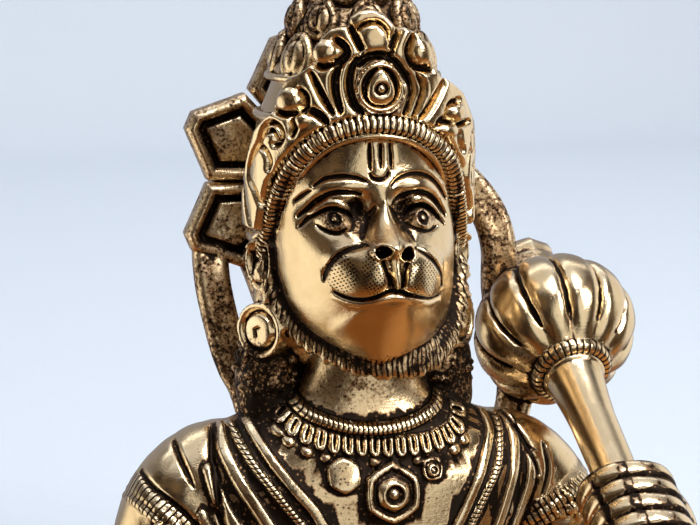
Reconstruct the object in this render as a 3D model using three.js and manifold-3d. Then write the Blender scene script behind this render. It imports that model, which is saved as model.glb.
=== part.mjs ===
// Cast brass half figure of a monkey-faced attendant with a crown, a petalled nimbus, a raised tail and a mace.
// Millimetres, Z up, the face looks along -Y, the flat cut underside lies at Z = 0.
import * as THREE from "three";
import { mergeVertices } from "three/addons/utils/BufferGeometryUtils.js";
import Module from "manifold-3d";

const wasm = await Module();
wasm.setup();

// Overall size of the figure, and the size at which the rows below are drawn.
const WIDTH = 75.8;
const DEPTH = 57.6;
const HEIGHT = 97.4;
const DRAWN_WIDTH = 75.8;
const DRAWN_DEPTH = 57.6;
const DRAWN_HEIGHT = 97.4;

// Trunk: rows of height, half width, half depth and centre depth.
const TRUNK = [
  [0, 18.2, 12.2, 1],
  [4.8, 18.4, 12.4, 1],
  [5.6, 17.3, 11.3, 1],
  [16, 20.5, 12, 1],
  [24, 23, 12.3, 1],
  [30, 23.5, 11.8, 1.2],
  [34, 20, 10.4, 1.4],
  [37, 14.5, 9, 1.4],
  [40, 9, 7.6, 1],
  [44, 6.8, 6.8, 0.5],
  [50, 6.6, 6.6, 0],
];
const TRUNK_SQUARENESS = 2.3;

// Arms: centre line points with radius.
const LEFT_ARM = [
  [-15, 1.6, 31, 5.4],
  [-19, 1.5, 29.2, 7.2],
  [-22.8, 1.2, 25.8, 7.2],
  [-25, 0.4, 20.5, 6.9],
  [-27.6, -0.6, 11, 6.2],
  [-30.4, -1.6, -2, 5.6],
];
const RIGHT_ARM = [
  [15, 1.6, 30.6, 5.4],
  [20, 1.5, 28.6, 6.9],
  [23.8, 1.2, 25, 7.1],
  [26.6, 0.4, 19.6, 6.7],
  [30, -0.6, 11, 5.6],
  [33, -3.4, 4.2, 4.9],
  [34.8, -8.6, 6, 4.7],
  [35.9, -14.4, 12, 4.3],
  [35.6, -18.8, 17.6, 3.7],
  [34, -22, 22, 3.9],
  [31.4, -23.4, 25.4, 3.3],
];

// Mace: globe centre, direction from globe to handle, and sizes.
const GLOBE = [28.6, 6.5, 44.7];
const GLOBE_R = 10.7;
const GLOBE_LOBES = 11;
const LOBE_DEPTH = 1.0;
const MACE_DIR = [0, -0.8638, -0.5039];
const SHAFT = [
  [4, 0],
  [4, 3.8],
  [10, 3.8],
  [12, 3.45],
  [16, 3.0],
  [24, 2.85],
  [41, 2.7],
  [42, 3.8],
  [45, 3.2],
  [45.8, 0],
];
const COLLAR_AT = 9.7;
const COLLAR_R = 4.1;
const COLLAR_WIRE = 0.95;
const FINIAL = [
  [-17.2, 0],
  [-16.6, 1.5],
  [-15.2, 2.1],
  [-13.8, 1.4],
  [-13, 3],
  [-11.6, 3.9],
  [-9.6, 4.6],
  [-7, 4.6],
  [-6, 0],
];
const GRIP_AT = 34.6;
const FINGER_PITCH = 2.7;
const FINGER_R = 1.5;
const KNUCKLE_DIR = [0.987, -0.016, 0.16];
const FINGER_LINE = [
  [4.9, -1.6],
  [4.6, 1.6],
  [2.6, 3.8],
  [0, 4.2],
  [-2.8, 3.6],
  [-4.4, 1.2],
  [-4.2, -1.4],
];

// Face: outline half widths by height, and the relief in front of it.
const FACE_CENTRE_Z = 60;
const FACE_BACK_Y = 0;
const FACE_EDGE = [
  [44.2, 2],
  [45, 5.2],
  [47, 8],
  [50, 9.6],
  [55, 10.8],
  [60, 11.2],
  [66, 10.9],
  [71, 9.4],
  [74, 7.4],
  [76, 3],
];

// Crown: arched band, front plate with its top profile, body rings and top.
const BAND_ARC = [
  [-12.4, -0.5, 58],
  [-12, -2.6, 62],
  [-10.9, -5.8, 67.6],
  [-7.6, -8.9, 73],
  [-3.6, -10.1, 75.2],
  [0, -10.4, 75.7],
  [3.6, -10.1, 75.2],
  [7.6, -8.9, 73],
  [10.9, -5.8, 67.6],
  [12, -2.6, 62],
  [12.4, -0.5, 58],
];
const BAND_W = 1.25;
const PLATE_TOP = [
  [0, 86.6],
  [11, 85.2],
  [17, 82.4],
  [25, 84.2],
  [32, 82.4],
  [38, 79.6],
  [47, 79.4],
  [56, 76.6],
  [66, 74.2],
  [78, 71],
  [90, 66],
  [104, 60],
];
const PLATE_LOW = [
  [0, 75.4],
  [30, 73.6],
  [45, 71],
  [60, 67],
  [75, 62],
  [104, 56.5],
];
const PLATE_HALF_TURN = 104;
const PLATE_THICK = 3;
const CROWN_AXIS_Y = 3.6;
// Leaf tiers of the crown's body: count, start, distance from the axis, height, half width, length.
const TIERS = [
  [6, 0.5, 9.2, 80.8, 3.4, 6.4],
  [5, 0, 7, 85.8, 2.8, 4.8],
];
const CROWN_RINGS = [
  [52, 0],
  [52, 12.2],
  [59, 12.9],
  [74, 12],
  [79, 10],
  [80.6, 10.4],
  [83, 8],
  [85.8, 7.8],
  [88, 5.2],
  [90.8, 5],
  [92, 2.8],
  [94, 2.2],
  [95.6, 2.5],
  [97.4, 0],
];

// Nimbus: eight petals behind the head.
const NIMBUS_Y = 18;
const NIMBUS_Z = 64.2;
const PETAL_TURNS = [-157.5, -113.3, -69.2, -25, 19.2, 63.3, 107.5, 155.5];
const NIMBUS_THICK = 2.4;
const STEM = [
  [0, 7, 64, 8.4],
  [0, 14, 64.1, 6.2],
  [0, 19.6, 64.2, 6.2],
];

// Tail: points with half width and half thickness.
const TAIL = [
  [-10, 8.6, 28],
  [-11.8, 12.6, 37],
  [-13.3, 14, 40.5],
  [-14.5, 15, 44.6],
  [-15.7, 17, 51.9],
  [-15, 20.6, 58],
  [-12, 21.6, 65],
  [-6.6, 21.6, 70.4],
  [0, 21.4, 72],
  [9, 20.6, 70.4],
  [16.4, 16.6, 65.6],
  [20.6, 14, 60.8],
  [22.2, 12.4, 55.8],
  [22.4, 12.4, 50],
  [23.2, 12.2, 43],
  [24.2, 10.4, 37],
  [22.2, 8.4, 31.4],
  [16, 6.4, 27.6],
];
const TAIL_HALF_W = 2.35;
const TAIL_HALF_T = 1.9;

// Chest ornaments: [x, z] on the front of the trunk.
const BEADS = [
  [-9.6, 40.2],
  [-8.4, 38.9],
  [-5.9, 37.8],
  [-3, 37],
  [0.4, 36.7],
  [3.6, 36.9],
  [6.6, 37.5],
  [9.2, 38.7],
  [10.2, 39.8],
];
const COLLAR = [
  [-12.6, 38.2],
  [-11.6, 37.2],
  [-9.4, 35.9],
  [-6, 35],
  [0, 34.5],
  [6, 34.9],
  [9.8, 35.8],
  [12.2, 37],
  [13.4, 38],
];
const SCARF_INNER = [
  [-13.6, 38.2],
  [-14, 35.6],
  [-12.7, 32.2],
  [-10.4, 29],
  [-7.8, 26],
  [-3.6, 21.4],
  [-0.6, 17.6],
];
const SCARF_ROPE = [
  [-15.6, 37.4],
  [-16.2, 35],
  [-15.2, 32.2],
  [-13.4, 29.6],
  [-10.6, 26.4],
  [-6.2, 21.4],
  [-0.6, 14.4],
];
const SCARF_OUTER = [
  [-18, 36.6],
  [-18.6, 33],
  [-17.4, 28.6],
  [-15.4, 24.4],
  [-11, 18],
  [-2, 9.4],
];
const PENDANTS = [
  [-4.6, 32, 2.1, 6],
  [1, 29.6, 3.3, 6],
  [6.6, 32, 1.5, 6],
];

const brass = new THREE.MeshStandardMaterial({ color: 0xb5984f, roughness: 0.35, metalness: 1 });

// Reads a value from rows of [key, value], between rows in proportion.
function read(rows, key, column = 1) {
  const last = rows.length - 1;
  if (key <= rows[0][0]) return rows[0][column];
  if (key >= rows[last][0]) return rows[last][column];
  const i = rows.findIndex((row) => row[0] > key) - 1;
  const share = (key - rows[i][0]) / (rows[i + 1][0] - rows[i][0]);
  return rows[i][column] + share * (rows[i + 1][column] - rows[i][column]);
}

// Leaves only positions, each corner held once.
function joined(geometry) {
  geometry.deleteAttribute("normal");
  geometry.deleteAttribute("uv");
  return mergeVertices(geometry, 1e-4);
}

// Moves every vertex of a geometry by a function.
function move(made, place) {
  const geometry = joined(made);
  const at = geometry.getAttribute("position");
  for (let i = 0; i < at.count; i++) {
    const p = place(at.getX(i), at.getY(i), at.getZ(i));
    at.setXYZ(i, p[0], p[1], p[2]);
  }
  return geometry;
}

// Closed body of a geometry, with its faces turned outwards.
function body(geometry) {
  const vertProperties = geometry.getAttribute("position").array;
  const triVerts = new Uint32Array(geometry.index.array);
  const made = new wasm.Manifold(new wasm.Mesh({ numProp: 3, vertProperties, triVerts }));
  if (made.volume() > 0) return made;
  for (let i = 0; i < triVerts.length; i += 3) {
    const kept = triVerts[i + 1];
    triVerts[i + 1] = triVerts[i + 2];
    triVerts[i + 2] = kept;
  }
  return new wasm.Manifold(new wasm.Mesh({ numProp: 3, vertProperties, triVerts }));
}

const smooth = (from, to, v) => {
  const t = THREE.MathUtils.clamp((v - from) / (to - from), 0, 1);
  return t * t * (3 - 2 * t);
};
const bump = (v, centre, width) => Math.exp(-(((v - centre) / width) ** 2));

// Front of the trunk at a point across and up.
function chestY(x, z) {
  const share = Math.min(0.999, Math.abs(x / read(TRUNK, z, 1)));
  return read(TRUNK, z, 3) - read(TRUNK, z, 2) * (1 - share ** TRUNK_SQUARENESS) ** (1 / TRUNK_SQUARENESS);
}

// Bar that follows points, its section set by a function of the way along.
function bar(points, facing, sizeAt, steps, sides, sectionAt = (c, s) => [c, s]) {
  const curve = new THREE.CatmullRomCurve3(
    points.map((p) => new THREE.Vector3(p[0], p[1], p[2])),
    false,
    "centripetal",
  );
  const face = new THREE.Vector3(...facing);
  return body(
    move(new THREE.CylinderGeometry(1, 1, 1, sides, steps), (x, y, z) => {
      const t = 0.5 - y;
      const at = curve.getPointAt(t);
      const along = curve.getTangentAt(t);
      const across = new THREE.Vector3().crossVectors(face, along).normalize();
      const out = new THREE.Vector3().crossVectors(along, across);
      const [a, b] = sizeAt(t);
      const [c, s] = Math.hypot(x, z) < 0.5 ? [0, 0] : sectionAt(x, z);
      at.addScaledVector(across, c * a).addScaledVector(out, s * b);
      return [at.x, at.y, at.z];
    }),
  );
}

// Limb whose points carry their own radius.
function limb(points, facing, steps, sides) {
  const last = points.length - 1;
  const rows = points.map((p, i) => [i / last, p[3]]);
  return bar(points, facing, (t) => [read(rows, t), read(rows, t)], steps, sides);
}

// Ellipsoid.
function ball([x0, y0, z0, rx, ry, rz], around, rows) {
  return body(
    move(new THREE.SphereGeometry(1, around, rows), (x, y, z) => [x0 + x * rx, y0 + z * ry, z0 + y * rz]),
  );
}

// Puts a body made along +Y, with +Z its outer face, at a point on a surface.
function placed(geometry, at, tip, outward) {
  const n = new THREE.Vector3(...outward).normalize();
  const side = new THREE.Vector3().crossVectors(new THREE.Vector3(...tip), n).normalize();
  const up = new THREE.Vector3().crossVectors(n, side);
  const m = new THREE.Matrix4().makeBasis(side, up, n).setPosition(...at);
  return body(joined(geometry).applyMatrix4(m));
}

// Round part turned about a line, from rows of [along, radius].
function turned(rows, start, direction, around, radiusAt = (r) => r) {
  const axis = new THREE.Vector3(...direction).normalize();
  const turn = new THREE.Quaternion().setFromUnitVectors(new THREE.Vector3(0, 1, 0), axis);
  const lathe = new THREE.LatheGeometry(
    rows.map(([along, r]) => new THREE.Vector2(r, along)),
    around,
  );
  return body(
    move(lathe, (x, y, z) => {
      const r = Math.hypot(x, z);
      const angle = Math.atan2(z, x);
      const set = r < 1e-6 ? 0 : radiusAt(r, y, angle) / r;
      const p = new THREE.Vector3(x * set, y, z * set).applyQuaternion(turn);
      return [start[0] + p.x, start[1] + p.y, start[2] + p.z];
    }),
  );
}

// Leaf with a raised middle, its base behind the origin and its tip along +Y.
function leaf(halfWidth, length, thick, pointed, sides = 6) {
  return move(new THREE.ConeGeometry(1, 1, sides, 1), (x, y, z) => {
    const narrow = 1 - pointed * smooth(-0.2, 1, z);
    const lift = y > 0 ? 0.75 * thick : -0.6 * thick;
    return [x * halfWidth * narrow, z * length * 0.5, lift];
  });
}

function faceDepth(x, z) {
  const wide = read(FACE_EDGE, z) + 0.4;
  const round = Math.sqrt(Math.max(0, 1 - (x / wide) ** 2));
  const rows = [
    [44, 7.6],
    [46, 8.4],
    [50, 9.2],
    [60, 9.8],
    [67, 9.9],
    [72, 9.4],
    [76, 9.2],
  ];
  let depth = 0.6 + read(rows, z) * round ** 0.9;
  depth += 5.4 * Math.exp(-(Math.abs(x / 8.4) ** 2.6) - Math.abs((z - 54.8) / 7.6) ** 2.6);
  const nose = smooth(67, 62, z) * smooth(59.6, 61.2, z);
  const noseHalf = 1.1 + 1.7 * smooth(66, 61, z);
  depth += 2.9 * nose * Math.exp(-((x / noseHalf) ** 2));
  depth += 0.7 * bump(Math.abs(x), 5.4, 3.4) * bump(z, 66.6, 1.5);
  depth -= 0.9 * bump(Math.abs(x), 3.1, 1.5) * bump(z, 63.4, 1.7);
  depth += 0.45 * bump(Math.abs(x), 5.5, 1.5) * bump(z, 63.5, 1);
  depth -= 0.5 * bump(z, 54.9 + 0.02 * x * x, 0.5) * smooth(8, 5.5, Math.abs(x));
  return depth;
}

// Head: face disc, beard strap, hair behind the ears.
function head() {
  const spokes = 32;
  const rings = 12;
  const disc = new THREE.SphereGeometry(1, spokes, rings + 1);
  const face = body(
    move(disc, (x, y, z) => {
      const row = Math.round((Math.acos(THREE.MathUtils.clamp(y, -1, 1)) / Math.PI) * (rings + 1));
      if (row > rings) return [0, FACE_BACK_Y, FACE_CENTRE_Z];
      const share = (row / rings) ** 1.2;
      const angle = Math.atan2(z, x);
      const dx = Math.cos(angle);
      const dz = Math.sin(angle);
      let reach = 4;
      while (reach < 17) {
        const far = FACE_CENTRE_Z + dz * reach;
        if (far < 44.2 || far > 76 || Math.abs(dx * reach) > read(FACE_EDGE, far)) break;
        reach += 0.05;
      }
      const px = dx * reach * share;
      const pz = FACE_CENTRE_Z + dz * reach * share;
      return [px, row === rings ? FACE_BACK_Y - 2.5 : -faceDepth(px, pz), pz];
    }),
  );
  const strap = bar(
    [
      [-11.6, -2.2, 54],
      [-10.6, -3.6, 49.8],
      [-8.4, -6.8, 46.6],
      [-4.6, -9.6, 45],
      [0, -10.5, 44.8],
      [4.6, -9.6, 45],
      [8.4, -6.8, 46.6],
      [10.6, -3.6, 49.8],
      [11.6, -2.2, 54],
    ],
    [0, -1, 0.01],
    () => [1.6, 1.4],
    14,
    6,
  );
  const hair = ball([0, 4.2, 49.5, 13, 8.2, 13], 12, 6);
  const locks = [-1, 1].map((s) => ball([s * 11.4, 2, 41.4, 4.2, 5, 6.4], 8, 5));
  return [face, strap, hair, ...locks];
}

// Point on the crown plate's face, by turn from the front and height.
function plateAt(turn, z, out = 0) {
  const a = (turn * Math.PI) / 180;
  const lean = 0.0105 * Math.max(0, z - 76) ** 1.75;
  const rx = 13.9 + out - 0.2 * Math.max(0, z - 74);
  const ry = 10.6 + out - lean;
  return [rx * Math.sin(a), -ry * Math.cos(a) + 0.4, z];
}

function plateLeaf(turn, z, halfWidth, length, tilt, thick = 0.9, pointed = 0.55, out = 0.1) {
  const a = (turn * Math.PI) / 180;
  const b = (tilt * Math.PI) / 180;
  const outward = [Math.sin(a), -Math.cos(a), 0.12];
  const tip = [Math.cos(a) * Math.sin(b), Math.sin(a) * Math.sin(b), Math.cos(b)];
  return placed(leaf(halfWidth, length, thick, pointed), plateAt(turn, z, out), tip, outward);
}

function crown() {
  const parts = [];
  parts.push(
    bar(
      BAND_ARC,
      [0, -1, 0.3],
      () => [BAND_W * 0.65, BAND_W],
      16,
      5,
    ),
  );
  const plate = new THREE.BoxGeometry(2, 1, 1, 28, 1, 1);
  parts.push(
    body(
      move(plate, (x, y, z) => {
        const turn = x * PLATE_HALF_TURN;
        const side = Math.abs(turn);
        const low = read(PLATE_LOW, side);
        const height = low + (y + 0.5) * (read(PLATE_TOP, side) - low);
        return plateAt(turn, height, z < 0 ? -PLATE_THICK : 0);
      }),
    ),
  );
  parts.push(turned(CROWN_RINGS, [0, CROWN_AXIS_Y, 0], [0, 0, 1], 12));
  parts.push(plateLeaf(0, 85.4, 2.7, 5.6, 0, 1.2, 0.35));
  parts.push(plateLeaf(0, 79.4, 2.9, 7.2, 0, 1.1, 0.6, 0.2));
  parts.push(plateLeaf(0, 79.2, 1.2, 3.2, 0, 1.2, 0.4, 0.9));
  for (const s of [-1, 1]) {
    parts.push(plateLeaf(s * 25.5, 83.6, 1.8, 3.4, s * 20, 1.2, 0));
    parts.push(plateLeaf(s * 17, 81.2, 0.9, 4.6, s * 8, 0.9));
    parts.push(plateLeaf(s * 22, 78.4, 0.95, 5.4, s * 24, 0.9));
    parts.push(plateLeaf(s * 31, 79.4, 1.0, 4.6, s * 34, 0.9));
    parts.push(plateLeaf(s * 33, 76.4, 0.9, 4.2, s * 50, 0.9));
    parts.push(plateLeaf(s * 46, 78.4, 1.4, 2.6, s * 30, 1.1, 0));
    parts.push(plateLeaf(s * 46, 74.4, 1.3, 4.2, s * 30, 0.9));
    parts.push(plateLeaf(s * 58, 74.6, 1.3, 3.2, s * 30, 1.0, 0.1));
    parts.push(plateLeaf(s * 62, 70.6, 1.3, 4, s * 20, 0.9));
    parts.push(plateLeaf(s * 74, 70, 1.3, 3.2, s * 16, 1.0, 0.1));
    parts.push(plateLeaf(s * 76, 65.4, 1.4, 4.4, s * 8, 0.9));
    parts.push(plateLeaf(s * 90, 62.4, 1.4, 4.6, s * 4, 0.9));
  }
  for (const [count, start, reach, height, halfWidth, length] of TIERS)
    for (let i = 0; i < count; i++) {
      const a = ((i + start) * 2 * Math.PI) / count;
      const at = [reach * Math.sin(a), CROWN_AXIS_Y - reach * Math.cos(a), height];
      parts.push(placed(leaf(halfWidth, length, 1.1, 0.5), at, [0, 0, 1], [Math.sin(a), -Math.cos(a), 0.3]));
    }
  return parts;
}

function ears() {
  const parts = [];
  for (const s of [-1, 1]) {
    const outward = [s * 0.86, -0.5, 0.04];
    parts.push(placed(leaf(2.6, 7.2, 1.4, 0.3), [s * 12.9, -0.2, 58.4], [0, 0, 1], outward));
    const rim = new THREE.CylinderGeometry(2.9, 3.4, 2.2, 14).rotateX(Math.PI / 2);
    parts.push(placed(rim, [s * 12.5, -0.8, 47.6], [0, 0, 1], outward));
    const boss = new THREE.CylinderGeometry(1.2, 1.9, 1.4, 8).rotateX(Math.PI / 2);
    parts.push(placed(boss, [s * 13.4, -1.4, 47.6], [0, 0, 1], outward));
    parts.push(limb([[s * 11, 0.6, 57, 2], [s * 11.4, 0.2, 50, 2.2]], [0, -1, 0], 2, 8));
  }
  return parts;
}

// Petal outline about its own turn: sides, shoulders and a blunt tip.
function petalRing(turn, inner, shoulder, tip, share) {
  const half = (share * Math.PI) / PETAL_TURNS.length;
  const rim = [
    [inner, half],
    [shoulder, half],
    [shoulder * 1.045, half * 0.76],
    [tip, half * 0.14],
  ];
  const ring = [...rim.map(([r, a]) => [r, -a]), ...rim.slice().reverse()];
  return ring.map(([r, a]) => [r * Math.cos(a + turn), r * Math.sin(a + turn)]);
}

function shapeOf(ring) {
  const shape = new THREE.Shape();
  ring.forEach(([x, y], i) => (i ? shape.lineTo(x, y) : shape.moveTo(x, y)));
  shape.closePath();
  return shape;
}

function nimbus() {
  const stand = (shape, front, depth) =>
    body(
      move(new THREE.ExtrudeGeometry(shape, { depth, bevelEnabled: false }), (x, h, d) => [
        x,
        front + depth - d,
        NIMBUS_Z + h,
      ]),
    );
  const turns = PETAL_TURNS.map((turn) => (turn * Math.PI) / 180);
  const outline = turns.flatMap((turn) => petalRing(turn, 4, 16, 20, 1).slice(1, 7));
  const parts = [stand(shapeOf(outline), NIMBUS_Y, NIMBUS_THICK)];
  for (const turn of turns) {
    const rim = shapeOf(petalRing(turn, 7, 15.9, 19.8, 0.95));
    rim.holes.push(shapeOf(petalRing(turn, 9, 14.6, 18.1, 0.74)));
    parts.push(stand(rim, NIMBUS_Y - 1, 1.6));
    parts.push(stand(shapeOf(petalRing(turn, 10, 13.9, 16.9, 0.58)), NIMBUS_Y - 0.6, 1.2));
  }
  parts.push(turned([[0, 0], [0, 8.6], [2.6, 8.6], [2.6, 0]], [0, NIMBUS_Y - 0.9, NIMBUS_Z], [0, 1, 0], 12));
  parts.push(limb(STEM, [0, 0, 1], 2, 10));
  return parts;
}

function trunk() {
  const rows = TRUNK.length - 1;
  const shell = new THREE.CylinderGeometry(1, 1, 1, 22, rows);
  return body(
    move(shell, (x, y, z) => {
      const height = TRUNK[Math.round((y + 0.5) * rows)][0];
      const reach = Math.hypot(x, z);
      if (reach < 0.5) return [0, read(TRUNK, height, 3), height];
      const power = 2 / TRUNK_SQUARENESS;
      const cx = Math.sign(x) * Math.abs(x / reach) ** power;
      const cz = Math.sign(z) * Math.abs(z / reach) ** power;
      const mid = read(TRUNK, height, 3);
      return [cx * read(TRUNK, height, 1), mid + cz * read(TRUNK, height, 2), height];
    }),
  );
}

// Cord or band that lies on the chest.
function onChest(points, lift, sizeAt, steps, sides) {
  const line = points.map(([x, z]) => {
    const y = chestY(x, z);
    return [x, y - lift, z];
  });
  return bar(line, [0, -1, 0.35], sizeAt, steps, sides);
}

function ornaments() {
  const mirror = (rows) => rows.map(([x, z]) => [-x, z]);
  const parts = [];
  parts.push(onChest(BEADS, 0.3, () => [0.75, 0.85], 12, 5));
  parts.push(onChest(COLLAR, 0.2, () => [1.5, 0.9], 12, 6));
  for (const side of [(rows) => rows, mirror]) {
    parts.push(onChest(side(SCARF_INNER), 0.2, () => [1, 0.8], 7, 5));
    parts.push(onChest(side(SCARF_ROPE), 0.3, () => [0.9, 0.9], 7, 5));
    parts.push(onChest(side(SCARF_OUTER), 0.2, () => [1.3, 0.8], 6, 5));
  }
  for (const [x, z, r, sides] of PENDANTS) {
    const outward = [0.05 * x, -1, 0.34];
    const at = [x, chestY(x, z) - 0.5, z];
    const plate = new THREE.CylinderGeometry(r * 0.86, r, 2.4, sides).rotateX(Math.PI / 2);
    parts.push(placed(plate, at, [0, 0, 1], outward));
    const boss = new THREE.CylinderGeometry(r * 0.3, r * 0.52, 3.6, 6).rotateX(Math.PI / 2);
    parts.push(placed(boss, at, [0, 0, 1], outward));
  }
  return parts;
}

function arms() {
  const parts = [
    limb(LEFT_ARM, [1, 0, 0], 5, 10),
    limb(RIGHT_ARM, [1, 0, 0], 13, 10),
  ];
  for (const [at, aim, r] of [
    [[-25.6, 0.3, 18.6], [-0.28, -0.1, -0.95], 7.3],
    [[27, 0.3, 18.8], [0.42, -0.18, -0.89], 7],
  ])
    parts.push(turned([[-1.5, 0], [-1.5, r], [1.5, r], [1.5, 0]], at, aim, 10));
  return parts;
}

// Point along the mace.
function maceAt(along) {
  return [
    GLOBE[0] + MACE_DIR[0] * along,
    GLOBE[1] + MACE_DIR[1] * along,
    GLOBE[2] + MACE_DIR[2] * along,
  ];
}

function mace() {
  const rows = 8;
  const globe = [];
  for (let i = 0; i <= rows; i++) {
    const a = Math.PI * (i / rows);
    globe.push([-Math.cos(a) * GLOBE_R * 0.97, Math.sin(a) * GLOBE_R]);
  }
  globe[0][1] = 0;
  globe[rows][1] = 0;
  const lobed = turned(globe, GLOBE, MACE_DIR, GLOBE_LOBES * 4, (r, along, angle) => {
    const swell = Math.abs(Math.cos((angle * GLOBE_LOBES) / 2));
    return r * (1 - (LOBE_DEPTH / GLOBE_R) * (1 - swell ** 0.7));
  });
  const shaft = turned(SHAFT, GLOBE, MACE_DIR, 10);
  const wire = [];
  for (let i = 0; i <= 5; i++) {
    const a = (i / 5) * 2 * Math.PI;
    wire.push([COLLAR_AT - Math.cos(a) * COLLAR_WIRE, COLLAR_R + Math.sin(a) * COLLAR_WIRE]);
  }
  wire[5] = wire[0].slice();
  const collar = turned(wire, GLOBE, MACE_DIR, 15);
  const finial = turned(FINIAL, GLOBE, MACE_DIR, 8);
  return [lobed, shaft, collar, finial];
}

// Hand closed round the handle: four finger rolls, a thumb and the back of the hand.
function fist() {
  const axis = new THREE.Vector3(...MACE_DIR).normalize();
  const across = new THREE.Vector3(...KNUCKLE_DIR);
  across.addScaledVector(axis, -across.dot(axis)).normalize();
  const out = new THREE.Vector3().crossVectors(axis, across);
  const at = (along, a, o) => {
    const p = new THREE.Vector3(...maceAt(GRIP_AT + along)).addScaledVector(across, a).addScaledVector(out, o);
    return [p.x, p.y, p.z];
  };
  const parts = [];
  const rolls = FINGER_LINE.map(([a, o]) => at(0.12 * a, a, o));
  const half = 2 * FINGER_PITCH;
  const section = (c, s) => {
    const share = (2 * Math.asin(THREE.MathUtils.clamp(s, -1, 1))) / Math.PI;
    const roll = 0.5 + 0.5 * Math.abs(Math.sin(2 * Math.PI * share)) ** 0.5;
    return [c > 0.01 ? 0.7 : -roll, share];
  };
  parts.push(bar(rolls, MACE_DIR, () => [FINGER_R, half], 7, 16, section));
  parts.push(bar([at(0.4, 1, -3.4), at(0.6, 3.6, -2.4), at(0.4, 4.6, 0.6)], MACE_DIR, () => [2.6, 5.6], 4, 8));
  parts.push(bar([at(4, 3.4, -3.4), at(-2.6, -1.6, -3.8), at(-5.4, -4, -0.4)], MACE_DIR, () => [1.5, 1.6], 4, 7));
  const palm = at(0.2, 0.6, -0.6);
  parts.push(ball([...palm, 4.6, 5, 4.6], 8, 6));
  return parts;
}

const pieces = [
  trunk(),
  ...arms(),
  ...head(),
  ...crown(),
  ...ears(),
  ...nimbus(),
  bar(TAIL, [0, -1, 0], () => [TAIL_HALF_W, TAIL_HALF_T], 22, 6),
  ...ornaments(),
  ...mace(),
  ...fist(),
];
let whole = pieces[0];
for (const piece of pieces.slice(1)) whole = whole.add(piece);

// Everything below the flat underside is cut away.
const below = body(joined(new THREE.BoxGeometry(200, 200, 60).translate(0, 0, -30)));
whole = whole.subtract(below);

const mesh = whole.getMesh();
const geometry = new THREE.BufferGeometry();
geometry.setAttribute("position", new THREE.BufferAttribute(Float32Array.from(mesh.vertProperties), 3));
geometry.setIndex(new THREE.BufferAttribute(Uint32Array.from(mesh.triVerts), 1));
geometry.scale(WIDTH / DRAWN_WIDTH, DEPTH / DRAWN_DEPTH, HEIGHT / DRAWN_HEIGHT);
geometry.computeVertexNormals();
const figure = new THREE.Mesh(geometry, brass);
figure.name = "figure";

const group = new THREE.Group();
group.add(figure);
export default group;
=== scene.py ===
import math

import bpy
import numpy as np
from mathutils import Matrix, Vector


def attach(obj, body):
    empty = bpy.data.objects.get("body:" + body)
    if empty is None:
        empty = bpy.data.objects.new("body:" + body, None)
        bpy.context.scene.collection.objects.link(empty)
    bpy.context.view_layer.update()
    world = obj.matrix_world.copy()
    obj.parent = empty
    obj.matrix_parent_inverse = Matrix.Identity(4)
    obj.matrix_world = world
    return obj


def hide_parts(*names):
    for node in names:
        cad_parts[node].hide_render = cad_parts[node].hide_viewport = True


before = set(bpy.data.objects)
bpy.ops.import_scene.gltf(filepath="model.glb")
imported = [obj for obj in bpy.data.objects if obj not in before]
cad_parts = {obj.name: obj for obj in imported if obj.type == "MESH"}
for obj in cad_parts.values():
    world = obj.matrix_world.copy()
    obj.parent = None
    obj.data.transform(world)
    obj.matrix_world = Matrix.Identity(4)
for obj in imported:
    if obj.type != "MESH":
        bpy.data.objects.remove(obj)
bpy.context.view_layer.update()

# The figure is modelled in millimetres on a block of points, then turned into a mesh in metres.
MILLIMETRE = 0.001
COARSE = 1.0
MOST_TRIANGLES = 196000
RELIEF_STEP = 0.1


def spaced(*runs):
    return np.concatenate([np.arange(a, b, step * COARSE) for a, b, step in runs]).astype(np.float32)


# Start, end and spacing of the points along each axis, closest over the head.
AXES = [
    spaced((-36.6, -24, 0.34), (-24, -15.4, 0.2), (-15.4, 15.4, 0.14), (15.4, 24, 0.2), (24, 41, 0.27)),
    spaced((-35.2, -18, 0.26), (-18, -1, 0.2), (-1, 24.8, 0.34)),
    spaced((-1.2, 24, 0.34), (24, 42, 0.17), (42, 89, 0.14), (89, 98.6, 0.22)),
]


# Helpers for numbers.
def read(rows, key, column=1, spread=0.0):
    """Value of a column of rows at a key, softened over a spread."""
    rows = np.array(rows)
    shifts = [0] if spread == 0 else np.linspace(-spread, spread, 7)
    return sum(np.interp(key + s, rows[:, 0], rows[:, column]) for s in shifts) / len(shifts)


def smooth(start, end, v):
    t = np.clip((v - start) / (end - start), 0, 1)
    return t * t * (3 - 2 * t)


def bell(v, centre, width):
    return np.exp(-(((v - centre) / width) ** 2))


def curve(points, count):
    """Smooth line through points, with every column carried along."""
    p = np.array(points, float)
    p = np.vstack([2 * p[0] - p[1], p, 2 * p[-1] - p[-2]])
    spans = len(p) - 3
    out = []
    for u in np.linspace(0, spans, count):
        i = min(int(u), spans - 1)
        t = u - i
        a, b, c, d = p[i : i + 4]
        bend = (2 * a - 5 * b + 4 * c - d) * t**2 + (3 * b - a - 3 * c + d) * t**3
        out.append(0.5 * (2 * b + (c - a) * t + bend))
    return np.array(out)


def unit(v):
    v = np.array(v, float)
    return v / np.linalg.norm(v)


def measured(x, y, z, at, axes):
    """How far points lie from a place along each of some axes."""
    q = (x - at[0], y - at[1], z - at[2])
    return [q[0] * w[0] + q[1] * w[1] + q[2] * w[2] for w in axes]


# Solid modelling on the block of points.
def union(a, b, soft):
    if soft <= 0:
        return np.minimum(a, b)
    h = np.maximum(soft - np.abs(a - b), 0) / soft
    return np.minimum(a, b) - h * h * soft * 0.25


def cutting(a, b, soft):
    return -union(-a, b, soft)


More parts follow.
